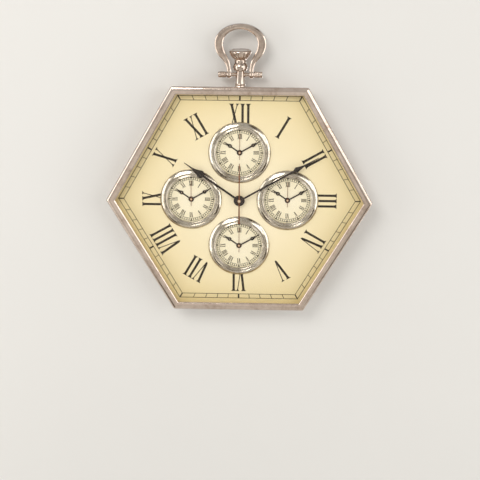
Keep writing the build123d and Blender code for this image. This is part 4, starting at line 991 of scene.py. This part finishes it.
def second_width(y):
    """Half width of the sweep hand: slim, widening to the tail, with a small flared foot."""
    slim = 0.6 + 0.5 * np.clip(-(y - SECOND_LENGTH) / 87.0, 0, 1)
    return slim + 0.7 * np.clip((-31.0 - y) / 3.0, 0, 1)


hour_parts = [
    blade(hour_width, HOUR_LENGTH, HOUR_LOW, HOUR_THICK, HOUR_ANGLE, start=2.0),
    hub(8.0, 2.6, HOUR_LOW, HOUR_THICK),
]
add("hour_blade", hour_parts, dark, "hour", ["hour_hand"])
minute_parts = [
    blade(minute_width, MINUTE_LENGTH, MINUTE_LOW, MINUTE_THICK, MINUTE_ANGLE, start=2.0),
    hub(7.2, 1.6, MINUTE_LOW, MINUTE_THICK),
]
add("minute_blade", minute_parts, dark, "minute", ["minute_hand"])
second_parts = [
    blade(second_width, SECOND_LENGTH, SECOND_LOW, SECOND_THICK, 0.0, start=-SECOND_TAIL),
    button(2.75, SECOND_LOW, SECOND_LOW + 0.9),
]
add("sweep_second", second_parts, copper, "second", ["second_hand"])


def small_second_width(y):
    return np.full(y.shape, 0.35)


for name, place in SMALL_PLACES.items():
    low = SMALL_DIAL_TOP + 0.5
    parts = small_hand(length=27.0, eye=17.0, radius=2.8, low=low, angle=HOUR_ANGLE, centre=place, start=1.2)
    parts.append(hub(radius=4.0, bore=0.98, low=low, thickness=0.3, centre=place, edge=0.08))
    add(name + "_hour_blade", parts, dark, name + "_hour", [name + "_hour_hand"])
    low = SMALL_DIAL_TOP + 1.1
    parts = small_hand(length=31.5, eye=22.4, radius=2.6, low=low, angle=MINUTE_ANGLE, centre=place, start=0.7)
    parts.append(hub(radius=3.4, bore=0.43, low=low, thickness=0.3, centre=place, edge=0.08))
    add(name + "_minute_blade", parts, dark, name + "_minute", [name + "_minute_hand"])
    low = SMALL_DIAL_TOP + 1.7
    parts = [
        blade(small_second_width, length=28.5, low=low, thickness=0.2, angle=0.0, centre=place, start=-10.2,
              fine=12),
        button(2.0, low, low + 0.2, place),
    ]
    add(name + "_sweep", parts, copper, name + "_second", [name + "_second_hand"])


# Stage: pale wall and floor, soft lamps, camera

def matt_card(name, corners, colour, second_colour, patch, rough):
    """Flat sheet of the stage in a matt colour with broad soft patches of a second one."""
    mesh = bpy.data.meshes.new(name)
    mesh.from_pydata([tuple(c) for c in corners], [], [(0, 1, 2, 3)])
    piece = bpy.data.objects.new(name, mesh)
    bpy.context.scene.collection.objects.link(piece)
    material = bpy.data.materials.new(name)
    material.use_nodes = True
    tree = material.node_tree
    shader = tree.nodes["Principled BSDF"]
    soft = noise(tree, object_place(tree), patch, 3.0)
    mixed = blended(tree, soft.outputs[0], linear(colour), linear(second_colour))
    tree.links.new(mixed, shader.inputs["Base Color"])
    shader.inputs["Roughness"].default_value = rough
    mesh.materials.append(material)
    return piece, tree, shader


def stage_sheet(name, corners, colour, camera_only=False):
    """Wall or floor. A camera-only sheet casts and mirrors nothing, and is seen through from behind."""
    piece, tree, shader = matt_card(name, corners, colour, [c * 0.985 for c in colour], 3.0, 0.85)
    shader.inputs["Specular IOR Level"].default_value = 0.2
    if camera_only:
        see_through(tree, shader, tree.nodes.new("ShaderNodeNewGeometry").outputs["Backfacing"])
        piece.visible_diffuse = piece.visible_glossy = piece.visible_transmission = piece.visible_shadow = False


FLOOR = -1.1
WALL = 0.0008
wall_corners = [(-6, WALL, FLOOR), (6, WALL, FLOOR), (6, WALL, 5), (-6, WALL, 5)]
stage_sheet("wall", wall_corners, (226, 224, 220), True)
stage_sheet("floor", [(-9, -9, FLOOR), (9, -9, FLOOR), (9, 9, FLOOR), (-9, 9, FLOOR)], (222, 220, 216))


def lamp(name, place, aim, size, power, colour=(1.0, 1.0, 1.0)):
    data = bpy.data.lights.new(name, "AREA")
    data.shape = "RECTANGLE"
    data.size, data.size_y = size
    data.energy = power
    data.color = colour
    piece = bpy.data.objects.new(name, data)
    bpy.context.scene.collection.objects.link(piece)
    piece.location = place
    piece.rotation_euler = (Vector(aim) - Vector(place)).to_track_quat("-Z", "Y").to_euler()


def flag(name, place, size):
    """Dark card that shows only in reflections and through the glass, so that polished metal gets depth."""
    towards = (Vector(MIDDLE) - Vector(place)).to_track_quat("-Z", "Y").to_matrix()
    x, y = size[0] / 2, size[1] / 2
    flat = [Vector((-x, -y, 0.0)), Vector((x, -y, 0.0)), Vector((x, y, 0.0)), Vector((-x, y, 0.0))]
    corners = [Vector(place) + towards @ corner for corner in flat]
    piece = matt_card(name, corners, (78, 66, 52), (98, 84, 66), 4.0, 0.9)[0]
    piece.visible_camera = piece.visible_diffuse = piece.visible_shadow = False


MIDDLE = (0.0, -0.03, -0.10)
flag("flag low left", (-0.55, -0.62, -0.97), (0.46, 0.40))
flag("flag low right", (0.77, -0.66, -0.80), (0.36, 0.40))
flag("flag high right", (0.56, -0.66, 0.80), (0.42, 0.40))
lamp("key", (-0.9, -2.0, 1.4), MIDDLE, (1.2, 1.0), 26.0, (1.0, 0.985, 0.96))
lamp("fill", (1.5, -2.0, 0.6), MIDDLE, (1.2, 1.2), 8.5)
lamp("left strip", (-1.45, -0.78, -0.15), MIDDLE, (0.62, 1.8), 6.6)
lamp("right strip", (1.45, -0.72, -0.15), MIDDLE, (0.56, 1.8), 6.0)
lamp("rear", (0.4, 1.9, -0.7), MIDDLE, (1.4, 0.9), 12.0)
lamp("low card", (-0.5, -2.7, -0.8), MIDDLE, (2.2, 1.1), 2.6, (1.0, 0.95, 0.91))

world = bpy.data.worlds.new("studio")
bpy.context.scene.world = world
world.use_nodes = True
world.node_tree.nodes["Background"].inputs["Color"].default_value = (0.80, 0.79, 0.77, 1.0)
world.node_tree.nodes["Background"].inputs["Strength"].default_value = 0.66

camera_data = bpy.data.cameras.new("camera")
camera = bpy.data.objects.new("camera", camera_data)
bpy.context.scene.collection.objects.link(camera)
camera_data.sensor_width = 36.0
camera_data.lens = 82.5
camera_data.clip_end = 60.0
camera.location = (0.0412, -1.5632, 0.3077)
look = Vector((0.0015, -0.025, -0.1893)) - camera.location
tilt = Matrix.Rotation(math.radians(0.4), 3, "Z")
camera.rotation_euler = (look.to_track_quat("-Z", "Y").to_matrix() @ tilt).to_euler()
bpy.context.scene.camera = camera
bpy.context.scene.view_settings.view_transform = "Standard"
